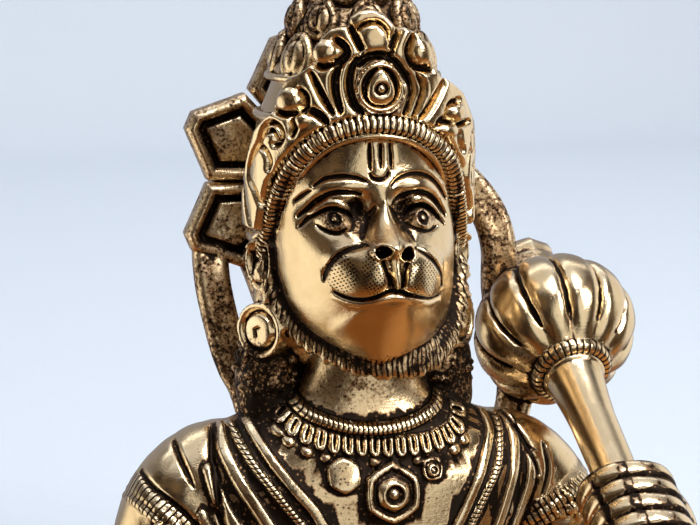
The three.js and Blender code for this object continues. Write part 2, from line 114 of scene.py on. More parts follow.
class Clay:
    """Distance to the surface over a block of points, negative inside the metal."""

    def __init__(self, low, high):
        self.cut = self.span(AXES, low, high)
        self.axes = [ax[c] for ax, c in zip(AXES, self.cut)]
        self.d = np.full([len(ax) for ax in self.axes], 9, np.float32)

    @staticmethod
    def span(axes, low, high):
        return tuple(
            slice(max(0, np.searchsorted(ax, a) - 1), min(len(ax), np.searchsorted(ax, b) + 1))
            for ax, a, b in zip(axes, low, high)
        )

    def near(self, low, high):
        cut = self.span(self.axes, low, high)
        x, y, z = [ax[c] for ax, c in zip(self.axes, cut)]
        return cut, x[:, None, None], y[None, :, None], z[None, None, :]

    def add(self, cut, d, soft=0.0):
        if self.d[cut].size:
            self.d[cut] = union(self.d[cut], d.astype(np.float32), soft)

    def join(self, other, soft=0.0):
        starts = [max(o.start, s.start) for o, s in zip(other.cut, self.cut)]
        stops = [min(o.stop, s.stop) for o, s in zip(other.cut, self.cut)]
        mine = tuple(slice(a - s.start, b - s.start) for a, b, s in zip(starts, stops, self.cut))
        theirs = tuple(slice(a - o.start, b - o.start) for a, b, o in zip(starts, stops, other.cut))
        self.add(mine, other.d[theirs], soft)

    def ball(self, at, radii, soft=0.0):
        at, radii = np.array(at, float), np.array(radii, float) * np.ones(3)
        cut, x, y, z = self.near(at - radii - 1, at + radii + 1)
        p = [(v - a) / r for v, a, r in zip((x, y, z), at, radii)]
        k0 = np.sqrt(p[0] ** 2 + p[1] ** 2 + p[2] ** 2)
        k1 = np.sqrt(sum((q / r) ** 2 for q, r in zip(p, radii)))
        self.add(cut, k0 * (k0 - 1) / np.maximum(k1, 1e-6), soft)

    def sweep(self, path, facing, section, reach, round_end):
        """Runs a section along a path; section(s, a, o) takes places along, across and outwards."""
        path = np.array(path, float)[:, :3]
        steps = np.diff(path, axis=0)
        lengths = np.linalg.norm(steps, axis=1)
        starts = np.concatenate([[0], np.cumsum(lengths)])
        for p, v, n, start in zip(path, steps, lengths, starts):
            cut, x, y, z = self.near(np.minimum(p, p + v) - reach, np.maximum(p, p + v) + reach)
            if not self.d[cut].size:
                continue
            t = v / n
            across = unit(np.cross(facing, t))
            out = np.cross(t, across)
            along, a, o = measured(x, y, z, p, (t, across, out))
            over = np.maximum(np.maximum(-along, along - n), 0)
            d = section(start + np.clip(along, 0, n), a, o)
            self.add(cut, np.hypot(np.maximum(d + round_end, 0), over) - round_end)

    def placed(self, at, outward, size):
        """Coordinates across, up and out of an upright spot that faces outward."""
        n = unit(outward)
        side = unit(np.cross((0, 0, 1), n))
        up = np.cross(n, side)
        at = np.array(at, float)
        cut, x, y, z = self.near(at - size, at + size)
        return cut, *measured(x, y, z, at, (side, up, n))

    def turned(self, rows, at, direction, radius_at=None):
        """Round part from rows of [along, radius] about a line."""
        w = unit(direction)
        u = unit(np.cross([0, 0, 1] if abs(w[2]) < 0.9 else [0, 1, 0], w))
        v = np.cross(w, u)
        rows = np.array(rows, float)
        at = np.array(at, float)
        ends = np.array([at + w * rows[0, 0], at + w * rows[-1, 0]])
        reach = rows[:, 1].max() + 1.2
        cut, x, y, z = self.near(ends.min(0) - reach, ends.max(0) + reach)
        along, a, b = measured(x, y, z, at, (w, u, v))
        r = np.hypot(a, b)
        edge = np.interp(along, rows[:, 0], rows[:, 1])
        spread = rows[:, 0] + np.arange(len(rows)) * 1e-4
        slope = np.interp(along, rows[:, 0], np.gradient(rows[:, 1], spread))
        if radius_at:
            edge = radius_at(edge, along, np.arctan2(b, a))
        d = (r - edge) / np.sqrt(1 + np.clip(slope, -3, 3) ** 2)
        d = np.maximum(d, np.maximum(rows[0, 0] - along, along - rows[-1, 0]))
        self.add(cut, d)


def oval(half_across, half_out):
    least = min(half_across, half_out)
    return lambda s, a, o: (np.hypot(a / half_across, o / half_out) - 1) * least


def squarish(a, o, half_a, half_o, power=3):
    """Distance-like measure from a rounded square section, 0 on its edge."""
    return ((np.abs(a) / half_a) ** power + (np.abs(o) / half_o) ** power) ** (1 / power) - 1


def ribbed(half, pitch, depth):
    """Round section with ribs across it."""

    def section(s, a, o):
        wave = np.abs(np.sin(np.pi * s / pitch)) ** 0.6
        return (np.hypot(a / half, o / half) - 1) * half + depth * (1 - wave)

    return section


def add_ring(clay, centre, axes, radius, half, section, count, room):
    """Ring of some section round the first of three axes."""
    around, u, v = [np.array(w, float) for w in axes]
    centre = np.array(centre, float)
    turns = np.linspace(0, 2 * math.pi, count)
    ring = Clay(centre - room, centre + room)
    circle = [centre + radius * (u * math.cos(g) + v * math.sin(g)) for g in turns]
    ring.sweep(circle, around, section, half + 0.8, half * 0.6)
    clay.join(ring, 0.1)


def limb(clay, points, count):
    """Round limb through points that carry their radius."""
    path = curve(points, count)
    for p, q in zip(path[:-1], path[1:]):
        r = max(p[3], q[3])
        low = np.minimum(p[:3], q[:3]) - r - 1.5
        high = np.maximum(p[:3], q[:3]) + r + 1.5
        cut, x, y, z = clay.near(low, high)
        v = q[:3] - p[:3]
        w = (x - p[0], y - p[1], z - p[2])
        t = np.clip((w[0] * v[0] + w[1] * v[1] + w[2] * v[2]) / (v @ v), 0, 1)
        d = np.sqrt((w[0] - t * v[0]) ** 2 + (w[1] - t * v[1]) ** 2 + (w[2] - t * v[2]) ** 2)
        clay.add(cut, d - (p[3] + t * (q[3] - p[3])))


# Relief drawn on a surface.
def trail(u, v, points, count=0):
    """Distance to a line on a surface, and how far along it the nearest point is, from 0 to 1."""
    line = curve(points, count) if count else np.array(points, float)
    steps = np.diff(line, axis=0)
    lengths = np.hypot(steps[:, 0], steps[:, 1])
    total = lengths.sum()
    shape = np.broadcast(u, v).shape
    best = np.full(shape, 99.0)
    share = np.zeros(shape)
    done = 0.0
    for p, s, n in zip(line, steps, lengths):
        t = np.clip(((u - p[0]) * s[0] + (v - p[1]) * s[1]) / (n * n), 0, 1)
        d = np.hypot(u - p[0] - t * s[0], v - p[1] - t * s[1])
        near = d < best
        best = np.where(near, d, best)
        share = np.where(near, (done + t * n) / total, share)
        done += n
    return best, share


def incised(u, v, points, width, depth, taper=0.5):
    """Depth of a chased line that thins towards its ends."""
    d, t = trail(u, v, points, 24)
    thin = np.clip(4 * t * (1 - t), 0, 1) ** taper
    return depth * np.exp(-((d / (width * (0.35 + 0.65 * thin))) ** 2) ** 1.3) * (0.25 + 0.75 * thin)


def roll(u, v, points, half, height, count=20, taper=0.0):
    """Height of a rounded ridge along a line."""
    d, t = trail(u, v, points, count)
    wide = half * (np.clip(4 * t * (1 - t), 0.02, 1) ** taper if taper else 1)
    return height * np.sqrt(np.maximum(0, 1 - (d / wide) ** 2))


# Trunk, neck and arms.

# Trunk: height, half width, half depth and how far back the middle lies.
TRUNK = [
    (-2, 18.2, 12.2, 1), (4.8, 18.3, 12.3, 1), (5.6, 17.3, 11.3, 1), (16, 20.5, 12, 1), (24, 23, 12.3, 1),
    (30, 23.4, 11.8, 1.2), (34, 20, 10.4, 1.4), (37, 14.5, 9, 1.4), (40, 9, 7.6, 1), (44, 6.8, 6.8, 0.5),
    (52, 6.6, 6.6, 0),
]
# The arms on the -X and +X side: place and radius.
LEFT_ARM = [
    (-15, 1.6, 31, 5.4), (-19, 1.5, 29.2, 7.1), (-22.8, 1.2, 25.8, 7.2), (-25, 0.4, 20.5, 6.9),
    (-27.6, -0.6, 11, 6.2), (-30.2, -1.6, -2, 5.5),
]
RIGHT_ARM = [
    (15, 1.6, 30.6, 5.4), (20, 1.5, 28.6, 6.9), (23.8, 1.2, 25, 7.1), (26.6, 0.4, 19.6, 6.7),
    (30, -0.6, 11, 5.6), (33, -3.4, 4.2, 4.8), (34.8, -8.6, 6, 4.6), (35.8, -14.4, 12, 4.2),
    (35.4, -18.8, 17.6, 3.6), (33.8, -22, 22.2, 3.7), (31.4, -23.2, 25.4, 3.2),
]
# How square the trunk is in plan: 2 is an oval.
SQUARE = 2.3
WAISTBAND_TOP, WAIST_TOP = 5.3, 7
WAISTBAND_WIDE, WAISTBAND_DEEP = 18.3, 12.2
WAIST_WIDE = (17.2, 17.7)


def make_trunk(whole):
    cut, x, y, z = whole.near((-24, -13, -2), (24, 15, 52))
    rows = z[0, 0]
    wide, deep, mid = [read(TRUNK, rows, c, spread) for c, spread in ((1, 1.0), (2, 1.0), (3, 0.5))]
    band = rows < WAISTBAND_TOP
    wide = np.where(rows < WAIST_TOP, np.interp(rows, [WAISTBAND_TOP, WAIST_TOP], WAIST_WIDE), wide)
    wide = np.where(band, WAISTBAND_WIDE, wide)
    deep = np.where(band, WAISTBAND_DEEP, deep)
    g = ((np.abs(x) / wide) ** SQUARE + (np.abs(y - mid) / deep) ** SQUARE) ** (1 / SQUARE)
    whole.add(cut, np.hypot(x, y - mid) * (1 - 1 / np.maximum(g, 1e-3)) * 0.9)
    arms = Clay((-37, -34, -2), (41, 10, 40))
    limb(arms, LEFT_ARM, 16)
    limb(arms, RIGHT_ARM, 34)
    whole.join(arms, 1.6)


# Face.

# Half width of the face at heights, on the -X and the +X side: cut by hand and not quite even.
FACE_LEFT = [
    (44.6, 1), (45.6, 2.8), (46.6, 4.8), (48.4, 7.6), (50.4, 9.3), (52.6, 10.5), (56, 11.3), (60, 11.6),
    (66, 11.1), (71, 9.5), (74, 7.3), (76, 3),
]
FACE_RIGHT = [
    (44.6, 3), (45.4, 5.2), (46.2, 7.2), (47.4, 8.8), (49.8, 10.5), (53, 11.1), (60, 11.2), (66, 10.8),
    (71, 9.2), (74, 7), (76, 3),
]
# Height, and how far the face stands out along its middle.
FACE_ROWS = [(44, 7.6), (46, 8.4), (50, 9.2), (60, 9.8), (67, 9.9), (72, 9.4), (76, 9.2)]
MUZZLE_X, MUZZLE_Z, MOUTH_Z = 0.4, 55.2, 54.4
# Swellings and hollows: rise, whether on both sides, middle and width across, middle and width in height.
FACE_FORMS = [
    (0.8, True, 5.2, 3.6, 67.1, 1.5),  # brow ridge
    (0.6, False, 0, 1.3, 66.8, 2.4),  # bridge
    (-1.9, True, 2.8, 1.25, 64.0, 1.9),  # inner sockets
    (-0.5, True, 6.2, 2.6, 63.4, 1.9),  # outer sockets
    (0.5, True, 8.2, 2.6, 58.6, 3.6),  # cheeks
]
NOSE_X = 0.3
NOSE_TIP = (0.5, 61.2)
NOSE_WINGS = [(-2.0, 60.7), (2.7, 60.5)]
NOSE_WALL = [(0.45, 60.4), (0.6, 58), (0.72, 55.9)]
JAW, JAW_HALF = (0.9, 48.8), (7.3, 5.2)
# Chased lines of the face: points as [x, height], width, depth.
FACE_LINES = [
    # Three strokes and a bowl on the forehead.
    ([(-1.24, 72.4), (-1.23, 70.3), (-1.2, 69.0)], 0.24, 0.7),
    ([(0.09, 72.3), (0.07, 70.3), (0.02, 69.3)], 0.23, 0.7),
    ([(1.24, 72.3), (1.36, 70.3), (1.3, 69.0)], 0.22, 0.7),
    ([(-1.34, 68.8), (-1.0, 68.2), (-0.2, 68.0), (0.6, 68.25), (0.95, 68.95)], 0.27, 0.7),
    # Brows, folds over the eyes and creases of the lids.
    ([(-7.9, 67.0), (-6.75, 67.93), (-5.75, 68.25), (-4.3, 68.4), (-2.87, 68.21),
      (-1.6, 67.7)], 0.29, 0.65),
    ([(-9.7, 65.1), (-8.69, 66.08), (-7.9, 66.7)], 0.24, 0.5),
    ([(-9.5, 63.2), (-8.22, 64.45), (-7.25, 65.47), (-6.28, 66.18), (-5.2, 66.53), (-3.71, 66.54),
      (-2.3, 66.2)], 0.34, 0.8),
    ([(-9.4, 62.0), (-8.28, 63.3), (-7.25, 64.05)], 0.27, 0.6),
    ([(1.1, 67.1), (2.18, 67.99), (3.53, 68.38), (4.79, 68.38), (6.33, 67.97), (7.85, 66.65),
      (9.2, 64.8)], 0.29, 0.65),
    ([(1.45, 65.0), (2.79, 65.86), (4.04, 66.3), (5.25, 66.22), (6.68, 65.57), (8.13, 64.02),
      (9, 62.7)], 0.32, 0.75),
    ([(3.3, 64.0), (4.1, 64.45), (5.32, 64.6), (6.44, 64.0), (7.77, 62.8), (8.6, 61.8)], 0.26, 0.6),
    # Under the eyes.
    ([(-7.6, 62.6), (-6.5, 61.95), (-5.43, 61.85), (-4.5, 62.4)], 0.22, 0.5),
    ([(2.9, 62.6), (4.38, 61.96), (5.9, 61.63), (7.3, 62.0)], 0.22, 0.5),
    # Down both sides of the nose.
    ([(-0.7, 64.9), (-1.7, 63.2), (-2.7, 61.6), (-3.0, 61.0)], 0.34, 0.6),
    ([(1.1, 64.7), (2.3, 63.0), (3.25, 61.4), (3.5, 60.7)], 0.24, 0.35),
    # Round the whisker pads.
    ([(-2.3, 60.75), (-4.28, 60.2), (-5.75, 59.3), (-6.79, 57.8), (-7.15, 56.0)], 0.34, 0.7),
    ([(3.1, 60.2), (4.67, 59.2), (5.9, 58.1), (7.1, 56.3), (7.5, 54.6)], 0.26, 0.5),
    # Mouth.
    (
        [
            (-6.2, 54.95), (-4.9, 54.42), (-3.5, 54.3), (-2.2, 54.6), (-0.95, 55.1), (0.1, 55.35),
            (1.0, 55.25), (2.4, 54.75),
            (4.1, 54.2), (5.6, 53.75), (7.3, 53.75),
        ],
        0.25, 1.0,
    ),
]
EYE_HALF = (2.1, 1.3)
LID_CREASE = 0.62
# Radii of the rings of the iris, from its rim inwards.
IRIS_RIM, IRIS_CUT, PUPIL = 0.82, 0.55, 0.34
LEFT_LID = [(-8.2, 63.7), (-7.2, 64.65), (-6.1, 65.1), (-5, 65.05), (-3.9, 64.5), (-3.2, 63.6)]
RIGHT_LID = [(2.6, 63.6), (3.6, 64.85), (4.6, 65.35), (5.6, 65.2), (6.8, 64.4), (8, 63.1)]
# Each eye: middle of the ball, middle of the iris, upper lid.
EYES = [((-5.6, 63.1), (-5.8, 63.45), LEFT_LID), ((5.0, 62.95), (5.08, 63.3), RIGHT_LID)]
# Nostrils and whisker pads: place, half sizes.
NOSTRILS = [((-1.02, 60.05), (0.8, 0.66)), ((2.02, 59.7), (0.68, 0.76))]
PADS = [((-3.7, 57.5), (3.5, 3.3)), ((4.4, 57.0), (3.3, 3.3))]
LIP_GROOVES = [
    [(-0.95, 58.8), (-0.56, 57.5), (0.12, 55.9)],
    [(1.9, 58.5), (1.5, 57.2), (1.32, 55.75)],
]


def share_of(u, v, at, half):
    """Distance from a spot's middle, as a share of its half sizes."""
    return np.hypot((u - at[0]) / half[0], (v - at[1]) / half[1])


def face_wide(x, z):
    return np.where(x < 0, read(FACE_LEFT, z, 1, 0.6), read(FACE_RIGHT, z, 1, 0.6))


def dome(x, z, at, radii):
    return np.sqrt(np.maximum(0, 1 - ((x - at[0]) / radii[0]) ** 2 - ((z - at[1]) / radii[1]) ** 2))


def lowered(line, drop):
    return [(px, pz - drop) for px, pz in line]


def face_front(x, z):
    """How far the face stands in front of the middle of the head."""
    side = np.abs(x)
    round_off = np.sqrt(np.maximum(0, 1 - (x / (face_wide(x, z) + 0.55)) ** 2))
    d = 0.6 + read(FACE_ROWS, z, 1, 1.5) * round_off**0.9
    above = np.abs((z - MUZZLE_Z) / 7.0) ** 2.8
    below = (np.maximum(0, MOUTH_Z - z) / 8.6) ** 1.2
    fall = np.where(z > MUZZLE_Z, above, below)
    d = d + 5.6 * np.exp(-(np.abs((x - MUZZLE_X) / 8.2) ** 2.8) - fall)
    for form, both, mid, wide, level, tall in FACE_FORMS:
        d += form * bell(side if both else x, mid, wide) * bell(z, level, tall)
    # Nose: a wedge with straight sides, wings and a tip.
    down = np.clip((65.2 - z) / 4.5, 0, 1)
    half = 0.3 + 2.8 * down**0.95
    rise = (0.4 + 1.9 * down**1.1) * smooth(58.7, 61.3, z) * smooth(66, 64.8, z)
    d += rise * np.maximum(0, 1 - (np.abs(x - NOSE_X) / half) ** 2.6)
    d += sum(0.45 * bell(np.hypot(x - px, z - pz), 0, 0.9) for px, pz in NOSE_WINGS)
    d += 0.6 * bell(np.hypot(x - NOSE_TIP[0], z - NOSE_TIP[1]), 0, 1.3)
    for at, iris, lid in EYES:
        d += 1.05 * dome(x, z, at, EYE_HALF)
        d += roll(x, z, lid, 0.5, 0.55, taper=0.5)
        d -= incised(x, z, lowered(lid, LID_CREASE), 0.24, 0.5)
        ring = np.hypot(x - iris[0], z - iris[1])
        d += 0.3 * bell(ring, IRIS_RIM, 0.18) - 0.4 * bell(ring, IRIS_CUT, 0.18)
        d += 0.25 * np.sqrt(np.maximum(0, 1 - (ring / PUPIL) ** 2))
    for at, half_sizes in PADS:
        d += 0.85 * dome(x, z, at, half_sizes) ** 0.8
    # Grooves down from the nostrils, with a thin wall between them that runs to the lip.
    for line in LIP_GROOVES:
        d -= 1.0 * bell(trail(x, z, line)[0], 0, 0.3)
    d += 0.8 * bell(trail(x, z, NOSE_WALL)[0], 0, 0.42)
    for at, half_sizes in NOSTRILS:
        hole = share_of(x, z, at, half_sizes)
        d += 0.35 * bell(hole, 1.35, 0.3) - 2.2 * np.exp(-(hole**4))
    # Heavy lower jaw with a thin lip along the mouth.
    d += 0.5 * dome(x, z, JAW, JAW_HALF)
    for points, width, depth in FACE_LINES:
        d -= incised(x, z, points, width, depth, taper=0.3)
    mouth = FACE_LINES[-1][0]
    d += 0.28 * bell(trail(x, z, lowered(mouth, 0.7))[0], 0, 0.32)
    return d


# Middle lines of the ribbed band over the forehead and of the beard under the chin.
BAND = [
    (-12.3, -0.2, 57.4), (-12, -1.4, 60.2), (-11.75, -2.6, 62.3), (-11.6, -3.9, 64.5), (-11.05, -5.3, 67),
    (-9.9, -6.5, 69.5), (-8.24, -7.8, 71.65), (-6.18, -8.9, 73.3), (-3.6, -9.8, 74.3),
    (-0.3, -10.3, 74.65), (3.5, -9.9, 74), (6.6, -8.9, 72.4), (8.85, -7.7, 70.3), (10.3, -6.3, 67.6),
    (11.3, -4.6, 64.3), (11.9, -3.2, 62.2), (12.4, -1.4, 59.6), (12.5, -0.2, 57.4),
]
STRAP = [
    (-11.5, -0.8, 56.6), (-10.8, -1.9, 53), (-9.5, -2.9, 50.5), (-7.6, -4.6, 48.5), (-4.5, -7.3, 46.7),
    (-2.2, -9.1, 45.9), (0.6, -10.2, 45.5), (2.8, -10.3, 45.4), (5, -9.8, 45.6), (7.4, -8.1, 46.3),
    (9.2, -6.2, 47.6), (10.9, -4, 50), (11.5, -2.6, 52.4), (11.8, -1.2, 56),
]


def make_head(whole):
    head = Clay((-16, -20, 40), (16, 14, 80))
    cut, x, y, z = head.near((-12.6, -19, 43), (12.6, 1, 77.5))
    u, v = x[:, :, 0], z[:, 0, :]
    front = face_front(u, v)
    slopes = np.gradient(front, u[:, 0], v[0])
    steep = 1 / np.sqrt(1 + np.clip(slopes[0] ** 2 + slopes[1] ** 2, 0, 6))
    edge = np.maximum(np.abs(u) - face_wide(u, v), np.maximum(44.4 - v, v - 76)) * 0.9
    d = -(y + front[:, None, :]) * steep[:, None, :]
    d = cutting(d, -np.broadcast_to(edge[:, None, :], d.shape), 1.2)
    head.add(cut, np.maximum(d, y - 0.5))
    head.ball((0, 4.2, 50.5), (12.4, 8.2, 12.5), 0.6)
    head.ball((0, 3.4, 63), (12.2, 9.6, 14), 0.6)
    # Ribbed band with a plain roll inside it, and the strap of beard with a thin rim along the face.
    ribs = Clay((-15, -13, 55), (15, 3, 78))
    ribs.sweep(BAND_PATH, (0, -1, 0.35), band_section, 1.9, 0.5)
    head.join(ribs, 0.05)
    inner = Clay((-15, -13, 55), (15, 3, 78))
    inner.sweep(beside(BAND_PATH, 1.5) + (0, 0.1, 0), (0, -1, 0.35), oval(0.36, 0.6), 1.5, 0.3)
    head.join(inner, 0.05)
    strap = Clay((-15, -14, 41), (15, 1, 58))
    strap.sweep(STRAP_PATH, (0, -1, 0.1), strap_section, 3.0, 0.8)
    head.join(strap, 0.08)
    rim = Clay((-15, -14, 42), (15, 1, 60))
    rim.sweep(beside(STRAP_PATH, -2.05) - (0, 0.25, 0), (0, -1, 0.1), oval(0.34, 0.6), 1.4, 0.3)
    head.join(rim, 0.05)
    whole.join(head, 0.4)


def beside(path, off):
    """A path moved sideways as seen from the front."""
    step = np.gradient(path, axis=0)
    side = np.stack([step[:, 2], step[:, 0] * 0, -step[:, 0]], 1)
    side /= np.hypot(step[:, 0], step[:, 2])[:, None]
    return path + side * off


def length_of(path):
    return np.linalg.norm(np.diff(path, axis=0), axis=1).sum()


BAND_PATH = curve(BAND, 90) - (0, 0.3, 0)
BAND_LENGTH = length_of(BAND_PATH)
STRAP_PATH = curve(STRAP, 70)


def band_turns(s):
    """Count of ribs along the band, which are wider over the forehead than at the temples."""
    return 1.68 * s - 0.42 * (s / 2 - BAND_LENGTH / (4 * np.pi) * np.sin(2 * np.pi * s / BAND_LENGTH))


def band_section(s, a, o):
    wave = np.abs(np.sin(np.pi * band_turns(s))) ** 0.6
    return squarish(a, o, 1.08, 0.82) * 0.82 + 0.42 * (1 - wave)


def strap_section(s, a, o):
    """Broad flat strap, uneven as cut by hand."""
    wide = 2.0 + 0.15 * np.sin(1.9 * s)
    return squarish(a, o, wide, 1.05) * 1.05 + 0.07 * np.sin(5.1 * s + 1.4 * a) + 0.05 * np.sin(2.9 * s - a)


# Crown.

# The front plate is laid out in [millimetres round the front, height]; its leaves are parted by cut grooves.
PLATE_OUTLINE = [
    (-21.8, 61.2), (-21.2, 63.6), (-19.6, 66.8), (-17.6, 70.6), (-16.2, 73.4), (-14.6, 75), (-13.3, 76),
    (-13.1, 78), (-12.3, 79.8), (-10.4, 80.7), (-8.9, 81.7), (-8.9, 83.3), (-8.1, 84.8), (-6.8, 85.9),
    (-5.3, 86.2), (-4.5, 86.1), (-4.2, 87.3), (-3, 88), (-1.2, 88.2), (0.5, 87.7), (1.6, 86.7),
    (2.3, 85.9), (3.7, 86), (5.3, 85.4), (6.8, 84.2), (7.5, 82.7), (7.3, 81.4), (8.3, 80.2), (10.4, 79.3),
    (12.9, 77.8), (14.2, 75.8), (15.8, 73), (17.2, 69.8), (19.4, 65.8), (21, 62.6), (21.6, 60.8),
    (16.6, 60.8), (15.6, 62.6), (14.4, 64.7), (12.6, 68.1), (10.3, 71.1), (7.4, 73.4), (3.9, 75.1),
    (-0.3, 75.8), (-3.9, 75.4), (-6.9, 74.3), (-9.4, 72.5), (-11.7, 70.2), (-13.9, 67.4), (-15, 64.5),
    (-15.9, 61.2),
]
PLATE_GROOVES = [
    # Left curled lobe, the leaves under it and the stem beside the jewel.
    ([(-5.9, 84.6), (-4.9, 83.9), (-4.5, 83.1), (-5, 82.3), (-6.2, 81.7)], 0.36),
    ([(-8.8, 81.8), (-7.4, 81.4), (-6.2, 81.7)], 0.16),
    ([(-5.3, 81.9), (-5.8, 80.4), (-5.8, 79.2), (-5.5, 77.8), (-4.9, 76.2)], 0.36),
    ([(-8.9, 80.6), (-7.8, 78.9), (-6.8, 77.4), (-5.8, 76)], 0.3),
    ([(-10, 78.6), (-9.2, 77.8), (-9.1, 76.8), (-9.6, 76.1)], 0.26),
    ([(-12.8, 75.9), (-11.3, 75.7), (-10.2, 75.9)], 0.24),
    ([(-10.7, 75.2), (-10.2, 74.3), (-10.5, 73.2)], 0.3),
    ([(-8.8, 76.3), (-7.8, 76), (-6.8, 75.3), (-6.4, 74.8)], 0.36),
    ([(-2.4, 82.9), (-3.6, 81.7), (-4, 80.2), (-3.9, 78.7), (-3.3, 77.1), (-2.3, 76)], 0.3),
    # Over the jewel and round the top leaf's tongue.
    ([(-2.9, 81.8), (-2.1, 82.5), (-0.9, 82.8), (0.5, 82.7), (1.5, 82.1)], 0.32),
    ([(-4.2, 86.2), (-3.1, 84.4), (-2.3, 83.1)], 0.28),
    ([(2.8, 86), (2, 84.8), (1.4, 83.6), (1.2, 82.6)], 0.3),
    ([(-3.2, 85.8), (-2.5, 86.4), (-1.2, 86.7), (-0.1, 86.5), (0.8, 85.7), (1, 84.8)], 0.06),
    # Right lobe, stem and leaves.
    ([(4.5, 84.8), (3.7, 83.3), (4, 82), (5, 81.2), (7.2, 80.8)], 0.3),
    ([(1.2, 82.6), (2.4, 81.5), (3.5, 80), (4, 78.7), (3.6, 77.2), (2.9, 75.8)], 0.36),
    ([(4.9, 80.5), (5.6, 78.8), (5, 77.2), (4, 75.3)], 0.28),
    ([(9, 79.3), (7.5, 77.8), (6.1, 76.3), (4.9, 75.1)], 0.3),
    ([(11.4, 76.9), (9.7, 76.5), (8.9, 75.6), (9.1, 74.8)], 0.24),
    ([(7, 74), (8.1, 74.7), (9.4, 74.4)], 0.3),
    ([(10.3, 73.8), (13.2, 74.1)], 0.2),
    ([(10.9, 73), (11, 71.8), (11.8, 70.6)], 0.2),
    # Scroll and leaves at the sides.
    ([(-14, 74.3), (-13, 74.6), (-11.9, 74), (-11.6, 73.1), (-12.1, 72.2), (-12.8, 72)], 0.14),
    ([(-13.8, 73.4), (-13.1, 73.7), (-12.6, 73.1), (-12.4, 72.3)], 0.16),
    ([(-14.1, 74), (-15, 72), (-16.3, 70.5), (-17.2, 69)], 0.14),
    ([(-15.1, 71.8), (-14, 71.1), (-13.4, 70), (-13.6, 69)], 0.18),
    ([(-17.4, 68.8), (-17.2, 67.4), (-16.1, 66.3), (-15, 64.6)], 0.18),
    ([(-19.2, 66.6), (-18.4, 64), (-17, 61.6)], 0.16),
    ([(13.4, 70.3), (12.9, 68.6), (12.8, 66.4), (13.6, 63.4)], 0.2),
    ([(15.8, 66.6), (16.4, 64), (15.6, 61.6)], 0.18),
    ([(17.6, 69), (16.6, 66.8), (17.8, 63.6), (17, 60.6)], 0.16),
]
# Bosses: place, half width, half height, rise.
PLATE_BOSSES = [
    (-7.3, 83.2, 1.5, 1.35, 0.7), (5.6, 83, 1.5, 1.55, 0.7), (-11.2, 77.4, 1.6, 1.45, 0.7),
    (10.5, 75.6, 1.5, 1.3, 0.6), (-9.2, 75.1, 0.95, 0.95, 0.5), (9, 73.4, 1.35, 0.9, 0.5),
    (-0.9, 84.8, 2.1, 2, 0.5),
]
PLATE_RINGS = [((14.6, 71.4), (0.95, 1.3)), ((14.8, 67.2), (0.85, 1.35))]
JEWEL = (-0.1, 79)
# Arch over the jewel.
ARCH = [(-2.9, 82.8), (-1.7, 83.5), (-0.4, 83.7), (0.9, 83.4)]
# The plate bends round an oval; angles round it and how many millimetres each lies from the front.
FRONT_RX, FRONT_RY, FRONT_Y = 13.9, 10.6, 0.4
TURN_ROWS = np.radians(np.linspace(0, 110, 221))
ARC_RATES = np.hypot(FRONT_RX * np.cos(TURN_ROWS[1:]), FRONT_RY * np.sin(TURN_ROWS[1:]))
ARC = np.concatenate([[0], np.cumsum(np.diff(TURN_ROWS) * ARC_RATES)])


def table_axes(corner, u_end, v_end):
    """Places of the rows and columns of a relief table that starts at a corner."""
    u = np.arange(corner[0], u_end, RELIEF_STEP)
    v = np.arange(corner[1], v_end, RELIEF_STEP)
    return u[:, None], v[None, :]


def polygon(u, v, points):
    """Signed distance to a closed outline, negative inside."""
    d = np.full(np.broadcast(u, v).shape, 99.0)
    inside = np.zeros(d.shape, bool)
    for (ax, ay), (bx, by) in zip(points, points[1:] + points[:1]):
        t = np.clip(((u - ax) * (bx - ax) + (v - ay) * (by - ay)) / ((bx - ax) ** 2 + (by - ay) ** 2), 0, 1)
        d = np.minimum(d, np.hypot(u - ax - t * (bx - ax), v - ay - t * (by - ay)))
        if ay != by:
            inside ^= ((ay > v) != (by > v)) & (u < (bx - ax) * (v - ay) / (by - ay) + ax)
    return np.where(inside, -d, d)


def pillow(distance, width):
    """Rounded rise from 0 at an edge to 1 at some width from it."""
    return np.sqrt(1 - (1 - np.clip(distance / width, 0, 1)) ** 2)


def plate_relief():
    """Height of the plate's carving, distance to its outline, and where black has stayed."""
    u, v = table_axes(PLATE_CORNER, 24.05, 90)
    outline = polygon(u, v, PLATE_OUTLINE)
    clear = -outline + 0.2
    for points, half in PLATE_GROOVES:
        d, share = trail(u, v, points, 24)
        thin = 0.5 + 0.5 * np.clip(4 * share * (1 - share), 0, 1) ** 0.5
        clear = np.minimum(clear, d - 1.02 * half * thin)
    relief = 1.35 * pillow(clear, 0.62)
    for x, z, ru, rz, height in PLATE_BOSSES:
        relief = relief + height * dome(u, v, (x, z), (ru, rz))
    for at, half in PLATE_RINGS:
        relief -= 0.35 * bell((share_of(u, v, at, half) - 1) * half[0], 0, 0.16)
    relief = np.maximum(relief, roll(u, v, ARCH, 0.42, 1.6))
    # Jewel: raised rim, sunk bed, tall drop with a ball in a ringed hole.
    p, q = u - JEWEL[0], v - JEWEL[1]
    e = np.hypot(p / 2.85, q / 2.9)
    relief = np.where(e < 1.04, 0.05, relief)
    relief = np.maximum(relief, 1.4 * np.sqrt(np.maximum(0, 1 - ((e - 0.93) * 2.85 / 0.38) ** 2)))
    egg = np.hypot(p / (1.74 - 0.24 * q), (q - 0.05) / 2.25)
    drop = 1.75 * np.sqrt(np.maximum(0, 1 - egg**2)) ** 0.35
    hole = np.hypot(p, q + 0.15)
    drop -= 0.6 * bell(hole, 0.6, 0.22)
    ink = smooth(0.08, -0.1, clear) * (outline < 0) * (e > 1.1)
    ink = np.maximum(ink, smooth(0.85, 0.8, e) * smooth(0.98, 1.08, egg) + 0.9 * bell(hole, 0.6, 0.24))
    ink = np.maximum(ink, bell(e, 1.14, 0.06))
    return np.maximum(relief, drop), outline, ink


